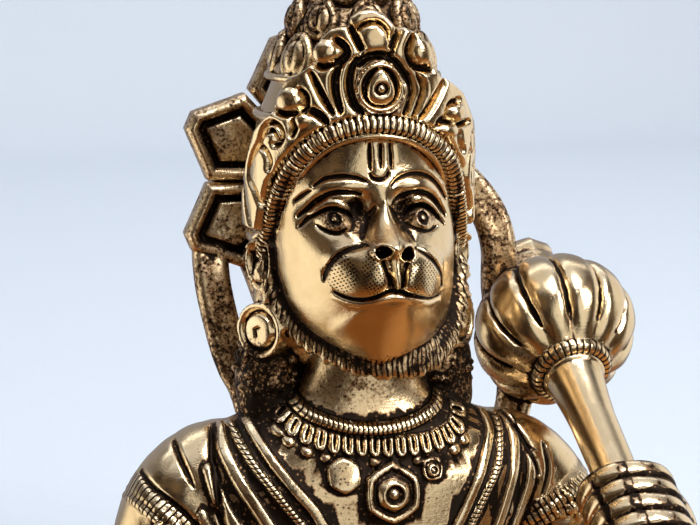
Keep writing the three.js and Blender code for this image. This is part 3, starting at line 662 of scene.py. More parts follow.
def round_front(x, y, z):
    """Millimetres round the front of the crown, and distance out from its face."""
    rx = FRONT_RX - 0.2 * np.maximum(0, z - 74)
    ry = FRONT_RY - 0.0105 * np.maximum(0, z - 76) ** 1.75
    px, py = x / rx, (y - FRONT_Y) / ry
    out = np.hypot(x, y - FRONT_Y) * (1 - 1 / np.maximum(np.hypot(px, py), 1e-3))
    turn = np.arctan2(px, -py)
    return np.sign(turn) * np.interp(np.abs(turn), TURN_ROWS, ARC), out


def lookup(table, u, v, corner):
    """Value of a relief table that starts at a corner, between its rows and columns."""
    a, b = (u - corner[0]) / RELIEF_STEP, (v - corner[1]) / RELIEF_STEP
    i = np.clip(a.astype(int), 0, table.shape[0] - 2)
    j = np.clip(b.astype(int), 0, table.shape[1] - 2)
    s, t = np.clip(a - i, 0, 1), np.clip(b - j, 0, 1)
    low = table[i, j] * (1 - t) + table[i, j + 1] * t
    high = table[i + 1, j] * (1 - t) + table[i + 1, j + 1] * t
    return low * (1 - s) + high * s


PLATE_CORNER = (-24, 54)
PLATE = plate_relief()


def leaf(clay, at, outward, half, length, thick, point, soft):
    """Upright leaf, narrower towards its tip by a share, with a vein and a raised rim."""
    cut, a, l, o = clay.placed(at, outward, max(half, length * 0.5) + 1.2)
    t = l / length
    wide = np.maximum(half * (1 - point * (t + 0.5)), 0.15)
    e = np.hypot(a / wide, 2 * t)
    lifted = o + (0.25 * bell(a, 0, 0.3) + 0.3 * bell(e, 0.66, 0.1)) * (o > 0)
    clay.add(cut, (np.hypot(e, lifted / thick) - 1) * min(thick, half), soft)


CROWN_Y = 3.6
CROWN_AXES = ((0, 0, 1), (0, -1, 0), (1, 0, 0))
# Cords round the crown: height, distance from the axis, half thickness.
CROWN_CORDS = [(59.4, 13, 0.7), (61.2, 13.1, 0.45), (74.6, 12, 0.6), (79.4, 10.6, 0.5), (95.4, 2.3, 0.35)]
CORD_PITCH = 0.62
# Leaves round the back of the crown's foot.
BACK_LEAVES = 14
CROWN_FOOT, CROWN_TIP = 52, 97.35
# Height and radius.
CROWN_RINGS = [
    (52, 12.0), (56, 12.7), (59, 13), (66, 12.9), (74, 12), (79, 10), (80.6, 10.3), (83, 8.2),
    (85.8, 7.7), (88, 5.4), (90.6, 5), (92, 3), (94, 2.1), (95.4, 2.5), (96.4, 2.1), (97.35, 0.3),
]
# Leaf tiers: count, start, distance from the axis, height, half width, length.
TIERS = [
    (9, 0.5, 9.3, 82, 3.2, 6.4), (8, 0, 7.3, 86.6, 2.8, 5.4), (8, 0.5, 5.1, 90.4, 2.0, 4.4),
    (6, 0, 3.2, 93.2, 1.5, 3),
]


def make_crown(whole):
    cap = Clay((-16, -11, 50), (16, 18, 98.5))
    heights = np.linspace(CROWN_FOOT, CROWN_TIP, 120)
    cap.turned(np.stack([heights, read(CROWN_RINGS, heights, 1, 0.35)], 1), (0, CROWN_Y, 0), (0, 0, 1))
    for z, r, half in CROWN_CORDS:
        corded = ribbed(half, CORD_PITCH, 0.1)
        add_ring(cap, (0, CROWN_Y, z), CROWN_AXES, r, half, corded, 60, (16, 14.6, 2))
    for i in range(BACK_LEAVES):
        a = math.radians(100 + i * 160 / (BACK_LEAVES - 1))
        out = (math.sin(a), -math.cos(a), 0.05)
        leaf(cap, (12.8 * out[0], CROWN_Y + 12.8 * out[1], 66.6), out, 1.5, 8.4, 0.9, 0.3, 0.12)
    for count, start, reach, height, half, length in TIERS:
        for i in range(count):
            a = (i + start) * 2 * math.pi / count
            at = (reach * math.sin(a), CROWN_Y - reach * math.cos(a), height)
            leaf(cap, at, (math.sin(a), -math.cos(a), 0.3), half, length, 1.2, 0.35, 0.0)
    whole.join(cap, 0.25)

    plate = Clay((-15.8, -13.4, 54.5), (15.8, 5.5, 89.5))
    x, y, z = np.meshgrid(*[ax.astype(float) for ax in plate.axes], indexing="ij")
    near = np.abs(np.hypot(x / FRONT_RX, (y - FRONT_Y) / FRONT_RY) - 0.86) < 0.42
    s, out = round_front(x[near], y[near], z[near])
    relief, outline, _ = PLATE
    lift = lookup(relief, s, z[near], PLATE_CORNER) - 0.5
    edge = lookup(outline, s, z[near], PLATE_CORNER)
    shell = np.maximum((out - lift) * 0.75, -out - 3)
    plate.d[near] = cutting(shell, -edge, 0.3)
    whole.join(plate, 0.06)


EAR_ROOM = 5
TONGUE = [(1.0, 1.7), (0.1, 2.2), (-0.6, 1.2), (-0.4, -0.4), (0.5, -2.0)]
STUD_NICK = [(-0.2, -0.7), (-0.35, 0.1), (0.25, 0.4)]
HAIR_CURLS = 230


def hair_middle(side):
    return np.array([side * 11.2, 2.6, 42.0])


def make_ears(whole):
    for s in (-1, 1):
        ear = Clay((min(s * 7, s * 18), -7, 40), (max(s * 7, s * 18), 6, 66))
        outward = (s * 0.8, -0.6, 0.0)
        # Plate of the ear with a raised rim and a curled tongue.
        cut, a, l, o = ear.placed((s * 12.7, -0.8, 57), outward, EAR_ROOM)
        a = a * s
        e = np.hypot(a / 2.3, l / (4.0 - 0.3 * a))
        top = 0.2 + 0.55 * bell(e, 0.84, 0.14) - 0.4 * smooth(0.72, 0.58, e)
        top = top + roll(a, l, TONGUE, 0.62, 0.95, 16)
        ear.add(cut, np.maximum(np.maximum((e - 1) * 2.2, (o - top) * 0.8), -o - 2.2), 0.1)
        ear.ball((s * 11.3, 0.4, 53), (2.2, 2.4, 4.6), 0.6)
        # Stud: flat rim, ringed groove and a flat raised disc with a nick.
        cut, a, l, o = ear.placed((s * 12.8, -1.2, 48.4), (s * 0.78, -0.62, 0.04), EAR_ROOM)
        r = np.hypot(a, l)
        top = 0.75 - 0.85 * bell(r, 2.42, 0.3) + 0.1 * smooth(2.2, 1.9, r)
        top = top - 0.3 * bell(trail(a, l, STUD_NICK)[0], 0, 0.2)
        ear.add(cut, np.maximum(np.maximum(r - 3.45, (o - top) * 0.8), -o - 2.4), 0.1)
        whole.join(ear, 0.15)
    hair = Clay((-17, -4, 32), (17, 12, 62))
    for s in (-1, 1):
        hair.ball(hair_middle(s), (4.2, 4.8, 6.6))
        hair.ball((s * 12.0, 1.6, 38.0), (3.2, 3.6, 3.2), 1.5)
    curls = np.random.default_rng(7)
    for s in (-1, 1):
        for _ in range(HAIR_CURLS):
            theta, phi = curls.uniform(0, math.pi), curls.uniform(0, 2 * math.pi)
            n = np.array([math.sin(theta) * math.cos(phi), math.sin(theta) * math.sin(phi), math.cos(theta)])
            at = hair_middle(s) + n * (4.1, 4.7, 6.5)
            hair.ball(at, curls.uniform(0.38, 0.6), 0.08)
    whole.join(hair, 0.15)


# Nimbus and tail.
NIMBUS_Z = 64.2
NIMBUS_FRONT, NIMBUS_BACK = 18, 20.3
# Directions of the petals in degrees, from +X towards +Z.
PETAL_TURNS = [-157.5, -113.3, -69.2, -25, 19.2, 63.3, 107.5, 155.5]


def petals(x, z):
    """Signed distance to the outline of the nimbus's petals, negative inside."""
    u, v = x, z - NIMBUS_Z
    outline = np.full(np.broadcast(u, v).shape, 9.0)
    half = math.pi / 8
    for turn in PETAL_TURNS:
        turn = math.radians(turn)
        rim = [(4, half), (16, half), (16.9, half * 0.72), (20.1, half * 0.15)]
        ring = [(r, -a) for r, a in rim] + rim[::-1]
        petal = [(r * math.cos(a + turn), r * math.sin(a + turn)) for r, a in ring]
        outline = np.minimum(outline, polygon(u, v, petal))
    return outline


def make_nimbus(whole):
    disc = Clay((-21.5, 15.5, 43), (21.5, 22.5, 85.5))
    x, y, z = [ax.astype(float) for ax in disc.axes]
    d = petals(x[:, None], z[None, :])
    relief = 1.2 * bell(d, -0.8, 0.7) ** 0.6 - 0.6 * bell(d, -1.95, 0.4) + 0.6 * smooth(-2.2, -2.6, d)
    outline = d - 0.08
    hub = np.hypot(x[:, None], z[None, :] - NIMBUS_Z)
    relief = np.where(hub < 9, 0.5, relief)
    front = NIMBUS_FRONT - relief
    back = NIMBUS_BACK + 0.35 * bell(outline, -1.2, 0.7)
    d = np.maximum(front[:, None, :] - y[None, :, None], y[None, :, None] - back[:, None, :]) * 0.9
    disc.d = cutting(d, -np.broadcast_to(outline[:, None, :], d.shape), 0.5).astype(np.float32)
    whole.join(disc, 0.2)
    stem = Clay((-11, 4, 52), (11, 21, 76))
    limb(stem, [(0, 7, 64, 8.4), (0, 14, 64.1, 6.4), (0, 19.4, 64.2, 6.2)], 8)
    whole.join(stem, 1.2)


TAIL = [
    (-10, 8.6, 28), (-11.8, 12.6, 37), (-13.3, 14, 40.5), (-14.5, 15, 44.6), (-15.7, 17, 51.9),
    (-15, 20.6, 58), (-12, 21.4, 65), (-6.6, 21.4, 70.4), (0, 21.2, 72), (9, 20.4, 70.4),
    (16.4, 16.6, 65.6), (20.6, 14, 60.8), (22.2, 12.4, 55.8), (22.4, 12.4, 50), (23.2, 12.2, 43),
    (24.2, 10.4, 37), (22.2, 8.4, 31.4), (16, 6.4, 27.6),
]


def tail_section(s, a, o):
    """Flat band with a ridge along its outer side."""
    return squarish(a, o, 2.35, 1.85) * 1.85 + 0.3 * bell(a, 0, 1.15) * (o > 0)


def make_tail(whole):
    tail = Clay((-19, 3, 22), (28, 24, 76))
    tail.sweep(curve(TAIL, 90), (0, -1, 0), tail_section, 3.8, 1.2)
    whole.join(tail, 0.4)


# Mace and hand.
GLOBE = np.array([28.3, 6.5, 44.7])
MACE_DIR = unit((0, -0.8638, -0.5039))
GLOBE_ACROSS = 10.85
LOBES = 12
LOBE_TURN = math.radians(97)
# Shaft and finial: place along the mace from the middle of its globe, radius.
SHAFT = [
    (4, 3.9), (7.4, 3.9), (9, 3.8), (11.4, 3.5), (14, 3.2), (17, 2.95), (24, 2.85), (41, 2.7),
    (41.6, 3.3), (42.4, 3.8), (43.6, 3.8), (45, 3.2), (45.8, 1.2),
]
FINIAL = [
    (-16.9, 0.5), (-16.5, 1.8), (-15.8, 3.0), (-14.8, 3.9), (-13.6, 4.2), (-12.4, 4.1), (-11, 4.2),
    (-9.6, 4.6), (-7, 4.6),
]
# Middle of the fist along the mace, and from one finger to the next.
GRIP, FINGER_PITCH = 34.6, 2.7


def mace_at(along, across, out):
    """Place along the mace, across it towards +X, and off its upper side."""
    aside = np.array([0.987, -0.016, 0.16])
    a = unit(aside - MACE_DIR * (aside @ MACE_DIR))
    return GLOBE + MACE_DIR * along + a * across + np.cross(MACE_DIR, a) * out


MACE_ACROSS = unit(np.cross([0, 0, 1], MACE_DIR))
MACE_TOP = np.cross(MACE_ACROSS, MACE_DIR) * -1


def mace_grooves(x, y, z):
    """Place along the mace, distance from its axis, angle off the nearest cut, and depth in that cut."""
    along, p, t = measured(x, y, z, GLOBE, (MACE_DIR, MACE_ACROSS, MACE_TOP))
    r, angle = np.hypot(p, t), np.arctan2(t, p)
    part = 2 * np.pi / LOBES
    off = np.abs((angle - LOBE_TURN + part / 2) % part - part / 2)
    inside = smooth(6.9, 5.4, np.abs(along + 0.8))
    slot = np.exp(-((off * r / (0.3 + 0.05 * np.sin(2.3 * along + 5 * angle))) ** 4)) * inside
    return along, r, off, slot


COLLAR_AT, COLLAR_RING = 7.9, 4.35


def fluted(edge, along, angle):
    """Radius of the finial's bud, cut in by its flutes."""
    flutes = 0.4 * np.abs(np.sin(4 * angle)) ** 0.6
    return edge - flutes * smooth(-16.6, -15, along) * smooth(-11.5, -12.5, along)


def make_mace(whole):
    mace = Clay((15, -36, 18), (41, 24, 58))
    w, u, v = MACE_DIR, MACE_ACROSS, MACE_TOP
    ball = Clay((16, -6, 32), (41, 19, 58))
    cut, x, y, z = ball.near((16, -6, 32), (41, 19, 58))
    along, r, off, slot = mace_grooves(x, y, z)
    half = np.where(along > 0, 8.7, 9.3)
    k0 = np.hypot(r / GLOBE_ACROSS, along / half)
    k1 = np.hypot(r / GLOBE_ACROSS**2, along / half**2)
    lobes = 0.5 * bell(off * r, 0, 0.9) * smooth(8.2, 6, np.abs(along))
    ball.add(cut, k0 * (k0 - 1) / np.maximum(k1, 1e-6) + lobes + 0.8 * slot)
    mace.join(ball)
    rows = np.linspace(4, 45.8, 160)
    mace.turned(np.stack([rows, read(SHAFT, rows, 1, 0.25)], 1), GLOBE, w)
    rows = np.linspace(-17.2, -7, 70)
    mace.turned(np.stack([rows, read(FINIAL, rows, 1, 0.15)], 1), GLOBE, w, fluted)
    for reach, radius, half in [(COLLAR_AT, COLLAR_RING, 0.95), (COLLAR_AT + 1.3, 3.75, 0.35)]:
        add_ring(mace, GLOBE + w * reach, (w, u, v), radius, half, oval(half, half), 64, 8)
    whole.join(mace, 0.3)


# A finger's middle line across the shaft and out from it.
FINGER = [
    (4.9, -1.6), (4.75, 1.2), (3.6, 3.3), (1.2, 4.25), (-1.6, 4.1), (-3.7, 2.7), (-4.5, 0.6),
    (-4.2, -1.4),
]


BACK_OF_HAND = [(0.4, 1, -3.2), (0.6, 3.6, -2.4), (0.4, 4.6, 0.6)]
# Place along from the grip, across and out, and radius.
THUMB = [(4, 3.2, -3.4, 1.7), (-1.6, -1.2, -4, 1.6), (-5.2, -3.6, -1.2, 1.5), (-6.0, -4.2, 0.6, 1.2)]
# Lines of the knuckles: along a finger in millimetres, and round the shaft as angles.
KNUCKLES = (2.6, 3.2, 8.2, 8.9, 12.6)
KNUCKLE_TURNS = (1.22, 1.4, 1.78, 1.95, 2.58)


def finger_section(s, a, o):
    lines = sum(bell(s, k, 0.13) for k in KNUCKLES)
    return squarish(a, o, 1.42, 1.32, 3.2) * 1.36 + 0.16 * lines


def make_hand(whole):
    hand = Clay((20, -36, 14), (41, -12, 36))
    hand.ball(mace_at(GRIP + 0.2, 0.8, -0.8), (4.4, 4.9, 4.4))
    back = Clay((20, -36, 14), (41, -12, 36))
    line = curve([mace_at(GRIP + s, a, o) for s, a, o in BACK_OF_HAND], 12)
    back.sweep(line, MACE_DIR, oval(2.4, 5.2), 6.5, 1.6)
    hand.join(back, 0.8)
    for i in range(4):
        roll_at = GRIP + (i - 1.5) * FINGER_PITCH
        line = curve([mace_at(roll_at + 0.12 * a, a, o) for a, o in FINGER], 40)
        finger = Clay((20, -37, 12), (41, -10, 38))
        finger.sweep(line, MACE_DIR, finger_section, 2.6, 1.1)
        hand.join(finger, 0.15)
    thumb = Clay((20, -37, 12), (41, -10, 38))
    limb(thumb, [(*mace_at(GRIP + s, a, o), r) for s, a, o, r in THUMB], 14)
    hand.join(thumb, 0.3)
    whole.join(hand, 0.35)


# Carving on the chest and arms, drawn as seen from the front.
BEADS = [
    (-9.8, 40.6), (-8.4, 38.9), (-5.9, 37.8), (-3, 37), (0.2, 36.7), (3.2, 36.9), (6.2, 37.6),
    (8.8, 38.8), (10, 40.4),
]
# Line of the collar and count of its petals.
PETALS = 18
COLLAR = [
    (-13.1, 42), (-12.5, 40.8), (-11.8, 39.5), (-10.9, 38.2), (-9.6, 37.0), (-7.3, 35.9), (-4.5, 35.2),
    (-1.5, 34.9), (1.3, 34.65), (4.3, 34.6), (7.1, 34.75), (9.6, 35.4), (11.3, 36.6), (12.1, 38.4),
]
# Smooth strips and twisted borders of the scarf on each side.
STRIPS = [
    [(-15.4, 39.4), (-14.6, 36.5), (-13.15, 33.7), (-10.95, 30.7), (-8.4, 27.6), (-7.2, 25.5),
      (-3.8, 21.4), (-0.2, 16.4)],
    [(15.9, 37.2), (15.9, 35.2), (14.85, 33.4), (12.5, 29.1), (9.85, 24.5), (6, 18.5), (1.5, 12.5)],
]
ROPES = [
    [(-16.8, 38.6), (-16.5, 35.7), (-15.2, 33), (-13.3, 30.35), (-10.9, 27.2), (-9.6, 25.6),
      (-5.6, 20.6), (-0.4, 14.2)],
    [(17.6, 37.6), (17.6, 35.6), (17, 33.8), (16.1, 31.3), (14.2, 28.2), (11.6, 24.0), (8.2, 18.4),
      (2.6, 10.4)],
]
# Folds of the scarf: line, half width, height.
FOLDS = [
    ([(-18.2, 37.2), (-18.3, 34.6), (-17.2, 31.4), (-15.2, 28), (-12.4, 23.6), (-8, 17.6),
      (-2, 10.6)], 0.8, 0.7),
    ([(-20.3, 32), (-19.4, 28.6), (-17.2, 24.6), (-13.4, 18.8), (-7, 10.6)], 0.8, 0.7),
    ([(-21.4, 26.6), (-19.6, 22.4), (-16, 16.6), (-11, 9.6)], 0.7, 0.6),
    ([(19.3, 36.2), (19.2, 33), (18.3, 29.4), (15.9, 23.6), (12.4, 17), (6.4, 8.4)], 0.75, 0.75),
    ([(21.3, 31), (20.6, 27), (18, 21.4), (14.6, 15), (10, 8)], 0.7, 0.6),
]
# Pendants: place, radius, corners, how square, whether ringed.
PENDANTS = [
    (-4.5, 31.7, 2.0, 6, 0.6, False), (1.5, 29.2, 3.35, 6, 0.55, True), (6.8, 31.7, 1.3, 4, 0.4, True),
]


def facets(u, v, count, turn=0.0):
    """Distance-like measure with polygon contours."""
    angle = np.arctan2(v, u) + turn
    part = 2 * math.pi / count
    return np.hypot(u, v) * np.cos((angle % part) - part / 2)


def chest_relief():
    """Height of the carving, and where black has stayed, over x and height."""
    x, z = table_axes(CHEST_CORNER, 24.05, 43)
    off, _ = trail(x, z, BEADS, 60)
    d = 1.05 * np.sqrt(np.maximum(0, 1 - (off / 0.85) ** 2))
    ink = smooth(0.7, 0.9, off) * smooth(1.25, 0.95, off)
    # Collar of upright petals with a slit in each.
    line = curve(COLLAR, 80)
    off, share = trail(x, z, line)
    q = np.where(z > np.interp(x, line[:, 0], line[:, 1]), 1, -1) * off
    pitch = length_of(line) / PETALS
    p = ((share * PETALS) % 1 - 0.5) * pitch
    clear = np.where(q < -0.5, 0.7 - np.hypot(p, q + 0.5), 0.7 - np.abs(p))
    clear = np.minimum(clear, 1.2 - q)
    clear = np.minimum(clear, (np.hypot(p / 0.15, (q - 0.3) / 0.75) - 1) * 0.15)
    within = (share > 0.003) & (share < 0.997) & (np.abs(q) < 1.4)
    d = np.maximum(d, np.where(within, 0.95 * pillow(clear, 0.16), 0))
    ink = np.maximum(ink, np.where(within, smooth(0.05, -0.05, clear), 0))
    # Lobes under the collar.
    for share in np.linspace(0.08, 0.92, 13):
        at = line[int(share * 79)]
        r = np.hypot((x - at[0] * 1.05) / 0.8, (z - at[1] + 1.85) / 0.66)
        d = np.maximum(d, 0.7 * np.sqrt(np.maximum(0, 1 - r**2)))
        ink = np.maximum(ink, 0.3 * smooth(1, 0.8, r) + 0.9 * bell(r, 1.1, 0.14))
    for px, pz, radius, count, square, ringed in PENDANTS:
        u, v = x - px, z - pz
        r = np.hypot(u, v)
        q = square * facets(u, v, count, math.pi / count) + (1 - square) * 0.93 * r
        plate = 1.0 * pillow(radius - q, 0.35)
        if ringed:
            plate -= 0.55 * bell(q, radius * 0.68, radius * 0.09)
            ring = 0.5 * bell(r, radius * 0.42, radius * 0.1)
            plate += ring - 0.3 * smooth(radius * 0.36, radius * 0.26, r)
            plate += 0.7 * np.sqrt(np.maximum(0, 1 - (r / (radius * 0.22)) ** 2))
            cuts = bell(q, radius * 0.68, radius * 0.1) + bell(r, radius * 0.29, radius * 0.06)
            ink = np.maximum(ink, cuts)
        d = np.where(q < radius, plate, d)
        ink = np.where(q < radius - 0.1, ink * ringed, np.maximum(ink, bell(q, radius + 0.22, 0.22)))
    for points in STRIPS:
        off, share = trail(x, z, points, 50)
        half = 0.62 + 0.18 * share
        d = np.maximum(d, 0.95 * pillow(half - off, 0.3))
        ink = np.maximum(ink, smooth(0.5, 0.8, off) * smooth(1.2, 0.95, off))
    for points in ROPES:
        off, _ = trail(x, z, points, 60)
        d = np.maximum(d, 1.0 * np.sqrt(np.maximum(0, 1 - (off / 0.6) ** 2)))
        ink = np.where(off < 0.45, 0, ink)
        ink = np.maximum(ink, smooth(0.5, 0.75, off) * smooth(1.05, 0.85, off))
    for points, half, height in FOLDS:
        off, _ = trail(x, z, points, 40)
        d = np.maximum(d, height * pillow(half - off, 0.45))
        ink = np.where(off < half - 0.2, 0, np.maximum(ink, bell(off, half + 0.22, 0.22)))
    for points in STRIPS:
        ink = np.where(trail(x, z, points, 50)[0] < 0.55, 0, ink)
    # Sash at the waist.
    d += 0.3 * np.abs(np.sin(x * 2.1 + z * 0.6)) ** 0.6 * smooth(5.2, 4.6, z) * smooth(0.2, 0.8, z)
    return d, np.clip(ink, 0, 1)


CHEST_CORNER = (-24, 0)
CHEST = chest_relief()
# Chased folds of the sleeves: line, width, depth.
ARM_LINES = [
    ([(-23.8, 36.4), (-23.5, 33.4), (-22.2, 29.9)], 0.36, 0.9),
    ([(-28.2, 32.6), (-27.3, 30), (-24, 27.5), (-21.8, 25)], 0.38, 0.9),
    ([(-18.3, 37.4), (-19.6, 33.8), (-19.5, 29.4), (-19, 25)], 0.45, 0.9),
    ([(18.4, 36.6), (20.6, 33), (22.3, 28.6)], 0.34, 0.8),
    ([(23.4, 32.4), (23.6, 29.2), (22.6, 26)], 0.3, 0.7),
]


def arm_grooves(x, z):
    d = np.zeros(np.broadcast(x, z).shape)
    for points, width, depth in ARM_LINES:
        d += incised(x, z, points, width, depth)
    return d


def carve_front(whole):
    cut, x, y, z = whole.near((-37, -15, 0.2), (37, 2, 43))
    u, v = x[:, :, 0].astype(float), z[:, 0, :].astype(float)
    inner = smooth(23.4, 21.4, np.abs(u)) * smooth(41.6, 40.2, v)
    relief = lookup(CHEST[0], u + 0 * v, v + 0 * u, CHEST_CORNER) * inner - arm_grooves(u, v)
    block = whole.d[cut]
    weight = smooth(3.2, 1.6, np.abs(block)) * smooth(2, -1.5, y)
    block -= (relief[:, None, :] * weight * 0.9).astype(np.float32)


# Armlets: middle, direction of the arm, radius; their rings: place along the arm, half size, rib pitch.
ARMLETS = [
    ((-24.0, 0.8, 23.2), (-0.74, -0.16, -0.65), 7.3), ((24.2, 1.0, 23.4), (0.5, -0.15, -0.85), 7.15),
]
ARMLET_RINGS = [(-1.15, 0.5, 0.8), (0, 0.8, 1.5), (1.15, 0.5, 0.8)]


def make_armlets(whole):
    for at, aim, r in ARMLETS:
        w = unit(aim)
        u = unit(np.cross((0, 1, 0), w))
        v = np.cross(w, u)
        for shift, half, pitch in ARMLET_RINGS:
            centre = np.array(at) + w * shift
            add_ring(whole, centre, (w, u, v), r - 0.25, half, ribbed(half, pitch, 0.14), 72, 10)
        front = np.array(at) + unit((math.copysign(0.35, at[0]), -1, 0.1)) * (r + 0.1)
        whole.ball(front, 0.95, 0.1)
        for k in range(7):
            g = k * 2 * math.pi / 7
            whole.ball(front + (1.55 * math.cos(g), 0.15, 1.55 * math.sin(g)), 0.75, 0.1)


# From distances to a mesh.
CORNERS = [(a, b, c) for a in (0, 1) for b in (0, 1) for c in (0, 1)]


def surface(d):
    """Points and quads where the distance changes sign."""
    inside = d < 0
    count = inside[:-1].astype(np.uint8) + inside[1:]
    count = count[:, :-1] + count[:, 1:]
    count = count[:, :, :-1] + count[:, :, 1:]
    active = (count > 0) & (count < 8)
    cells = np.array(np.nonzero(active))
    number = np.zeros(active.shape, np.int32)
    number[tuple(cells)] = np.arange(cells.shape[1])
    values = [d[cells[0] + a, cells[1] + b, cells[2] + c].astype(float) for a, b, c in CORNERS]
    total = np.zeros(cells.shape)
    hits = np.zeros(cells.shape[1])
    for i, p in enumerate(CORNERS):
        for j, q in enumerate(CORNERS):
            if j <= i or sum(abs(a - b) for a, b in zip(p, q)) != 1:
                continue
            crossed = (values[i] < 0) != (values[j] < 0)
            t = np.where(crossed, values[i] / np.where(crossed, values[i] - values[j], 1), 0)
            for k in range(3):
                total[k] += np.where(crossed, p[k] + t * (q[k] - p[k]), 0)
            hits += crossed
    points = np.empty((cells.shape[1], 3))
    for k, ax in enumerate(AXES):
        share = total[k] / hits
        points[:, k] = ax[cells[k]] + share * (ax[cells[k] + 1] - ax[cells[k]])
    quads = []
    for k in range(3):
        a, b = (k + 1) % 3, (k + 2) % 3
        low = [slice(1, -1)] * 3
        high = [slice(1, -1)] * 3
        low[k], high[k] = slice(0, -1), slice(1, None)
        first, second = inside[tuple(low)], inside[tuple(high)]
        at = np.array(np.nonzero(first != second))
        outward = first[tuple(at)]
        at[a] += 1
        at[b] += 1
        ring = []
        for da, db in ((-1, -1), (0, -1), (0, 0), (-1, 0)):
            cell = at.copy()
            cell[a] += da
            cell[b] += db
            ring.append(number[tuple(cell)])
        ring = np.stack(ring, 1)
        ring[~outward] = ring[~outward][:, ::-1]
        quads.append(ring)
    return points, np.concatenate(quads)


def hollows(points, quads, rounds):
    """How deep each point lies below its neighbourhood, in mm, at several widths."""
    diagonals = points[quads[:, 2]] - points[quads[:, 0]], points[quads[:, 3]] - points[quads[:, 1]]
    face = np.cross(*diagonals)
    n = len(points)
    normal = np.stack([sum(np.bincount(quads[:, c], face[:, k], n) for c in range(4)) for k in range(3)], 1)
    normal /= np.maximum(np.linalg.norm(normal, axis=1, keepdims=True), 1e-9)
    a = quads.ravel()
    b = np.roll(quads, -1, 1).ravel()
    share = np.bincount(a, minlength=n) + np.bincount(b, minlength=n)
    moved = points.copy()
    found = []
    for i in range(1, max(rounds) + 1):
        moved = np.stack(
            [(np.bincount(a, moved[b, k], n) + np.bincount(b, moved[a, k], n)) / share for k in range(3)], 1
        )
        if i in rounds:
            found.append(((moved - points) * normal).sum(1))
    return found


def mesh_object(name, points, quads, layers, most):
    mesh = bpy.data.meshes.new(name)
    mesh.vertices.add(len(points))
    mesh.vertices.foreach_set("co", (points * MILLIMETRE).astype(np.float32).ravel())
    mesh.loops.add(quads.size)
    mesh.loops.foreach_set("vertex_index", quads.astype(np.int32).ravel())
    mesh.polygons.add(len(quads))
    mesh.polygons.foreach_set("loop_start", np.arange(0, quads.size, 4, dtype=np.int32))
    mesh.update()
    for key, values in layers.items():
        mesh.attributes.new(key, "FLOAT", "POINT").data.foreach_set("value", values.astype(np.float32))
    piece = bpy.data.objects.new(name, mesh)
    bpy.context.scene.collection.objects.link(piece)
    fewer = piece.modifiers.new("fewer", "DECIMATE")
    fewer.ratio = min(1.0, most / (2 * len(quads)))
    fewer.use_collapse_triangulate = True
    thinned = bpy.data.meshes.new_from_object(piece.evaluated_get(bpy.context.evaluated_depsgraph_get()))
    piece.modifiers.clear()
    piece.data = thinned
    thinned.name = name
    thinned.polygons.foreach_set("use_smooth", np.ones(len(thinned.polygons), bool))
    return piece


# Where the soot and painted shade, the ink, the ribs and the whisker dots lie.

# Places darkened both by patina, as on the hair, round the eyes and on the chest ground, and by painted shade
# behind the head and nimbus, on the tail, under the chin, round the neck, under the mace and in the armpits:
# middle, half sizes, amount.
SOOT_AND_SHADE_PLACES = [
    ((0, 20, 64), (30, 9, 30), 0.62), ((22, 12, 48), (7, 7, 22), 0.8), ((-14, 14, 46), (7, 7, 22), 0.8),
    ((0, 4, 88), (14, 11, 13), 0.8), ((0, 10, 68), (18, 9, 14), 0.55), ((-12, 2, 41), (6, 7, 8), 1.0),
    ((12, 2, 41), (6, 7, 8), 1.0), ((0, -6, 41.6), (11, 6, 3.4), 0.62), ((0, -9, 44), (13, 8, 2.2), 0.6),
    ((-2.9, -10, 64.2), (1.5, 5, 2.0), 1.0), ((3.2, -10, 64.2), (1.4, 5, 2.0), 1.0),
    ((-3.1, -10, 62.3), (1.2, 5, 1.5), 0.85), ((3.8, -10, 61.8), (1.4, 5, 1.0), 0.7),
    ((-5.4, -10, 63.2), (2.3, 5, 1.5), 0.76), ((5, -10, 63.1), (2.3, 5, 1.5), 0.74),
    ((-13.4, -1, 57), (3, 4, 5), 0.4), ((21.5, 4, 39.3), (6, 8, 6), 0.5), ((30, 4, 36), (7, 8, 4), 0.35),
    ((0, -10, 28), (15, 6, 9), 0.38), ((-19.5, -6, 29), (3, 8, 10), 0.3),
    ((20, -6, 27), (3, 8, 10), 0.35),
]


# Amount of patina and painted shade at each point, from the places above.
def soot_and_shade_amount(x, y, z):
    amount = np.zeros(len(x))
    for at, half, most in SOOT_AND_SHADE_PLACES:
        e = np.sqrt(sum(((v - a) / h) ** 2 for v, a, h in zip((x, y, z), at, half)))
        amount = np.maximum(amount, most * smooth(1.15, 0.7, e))
    return amount


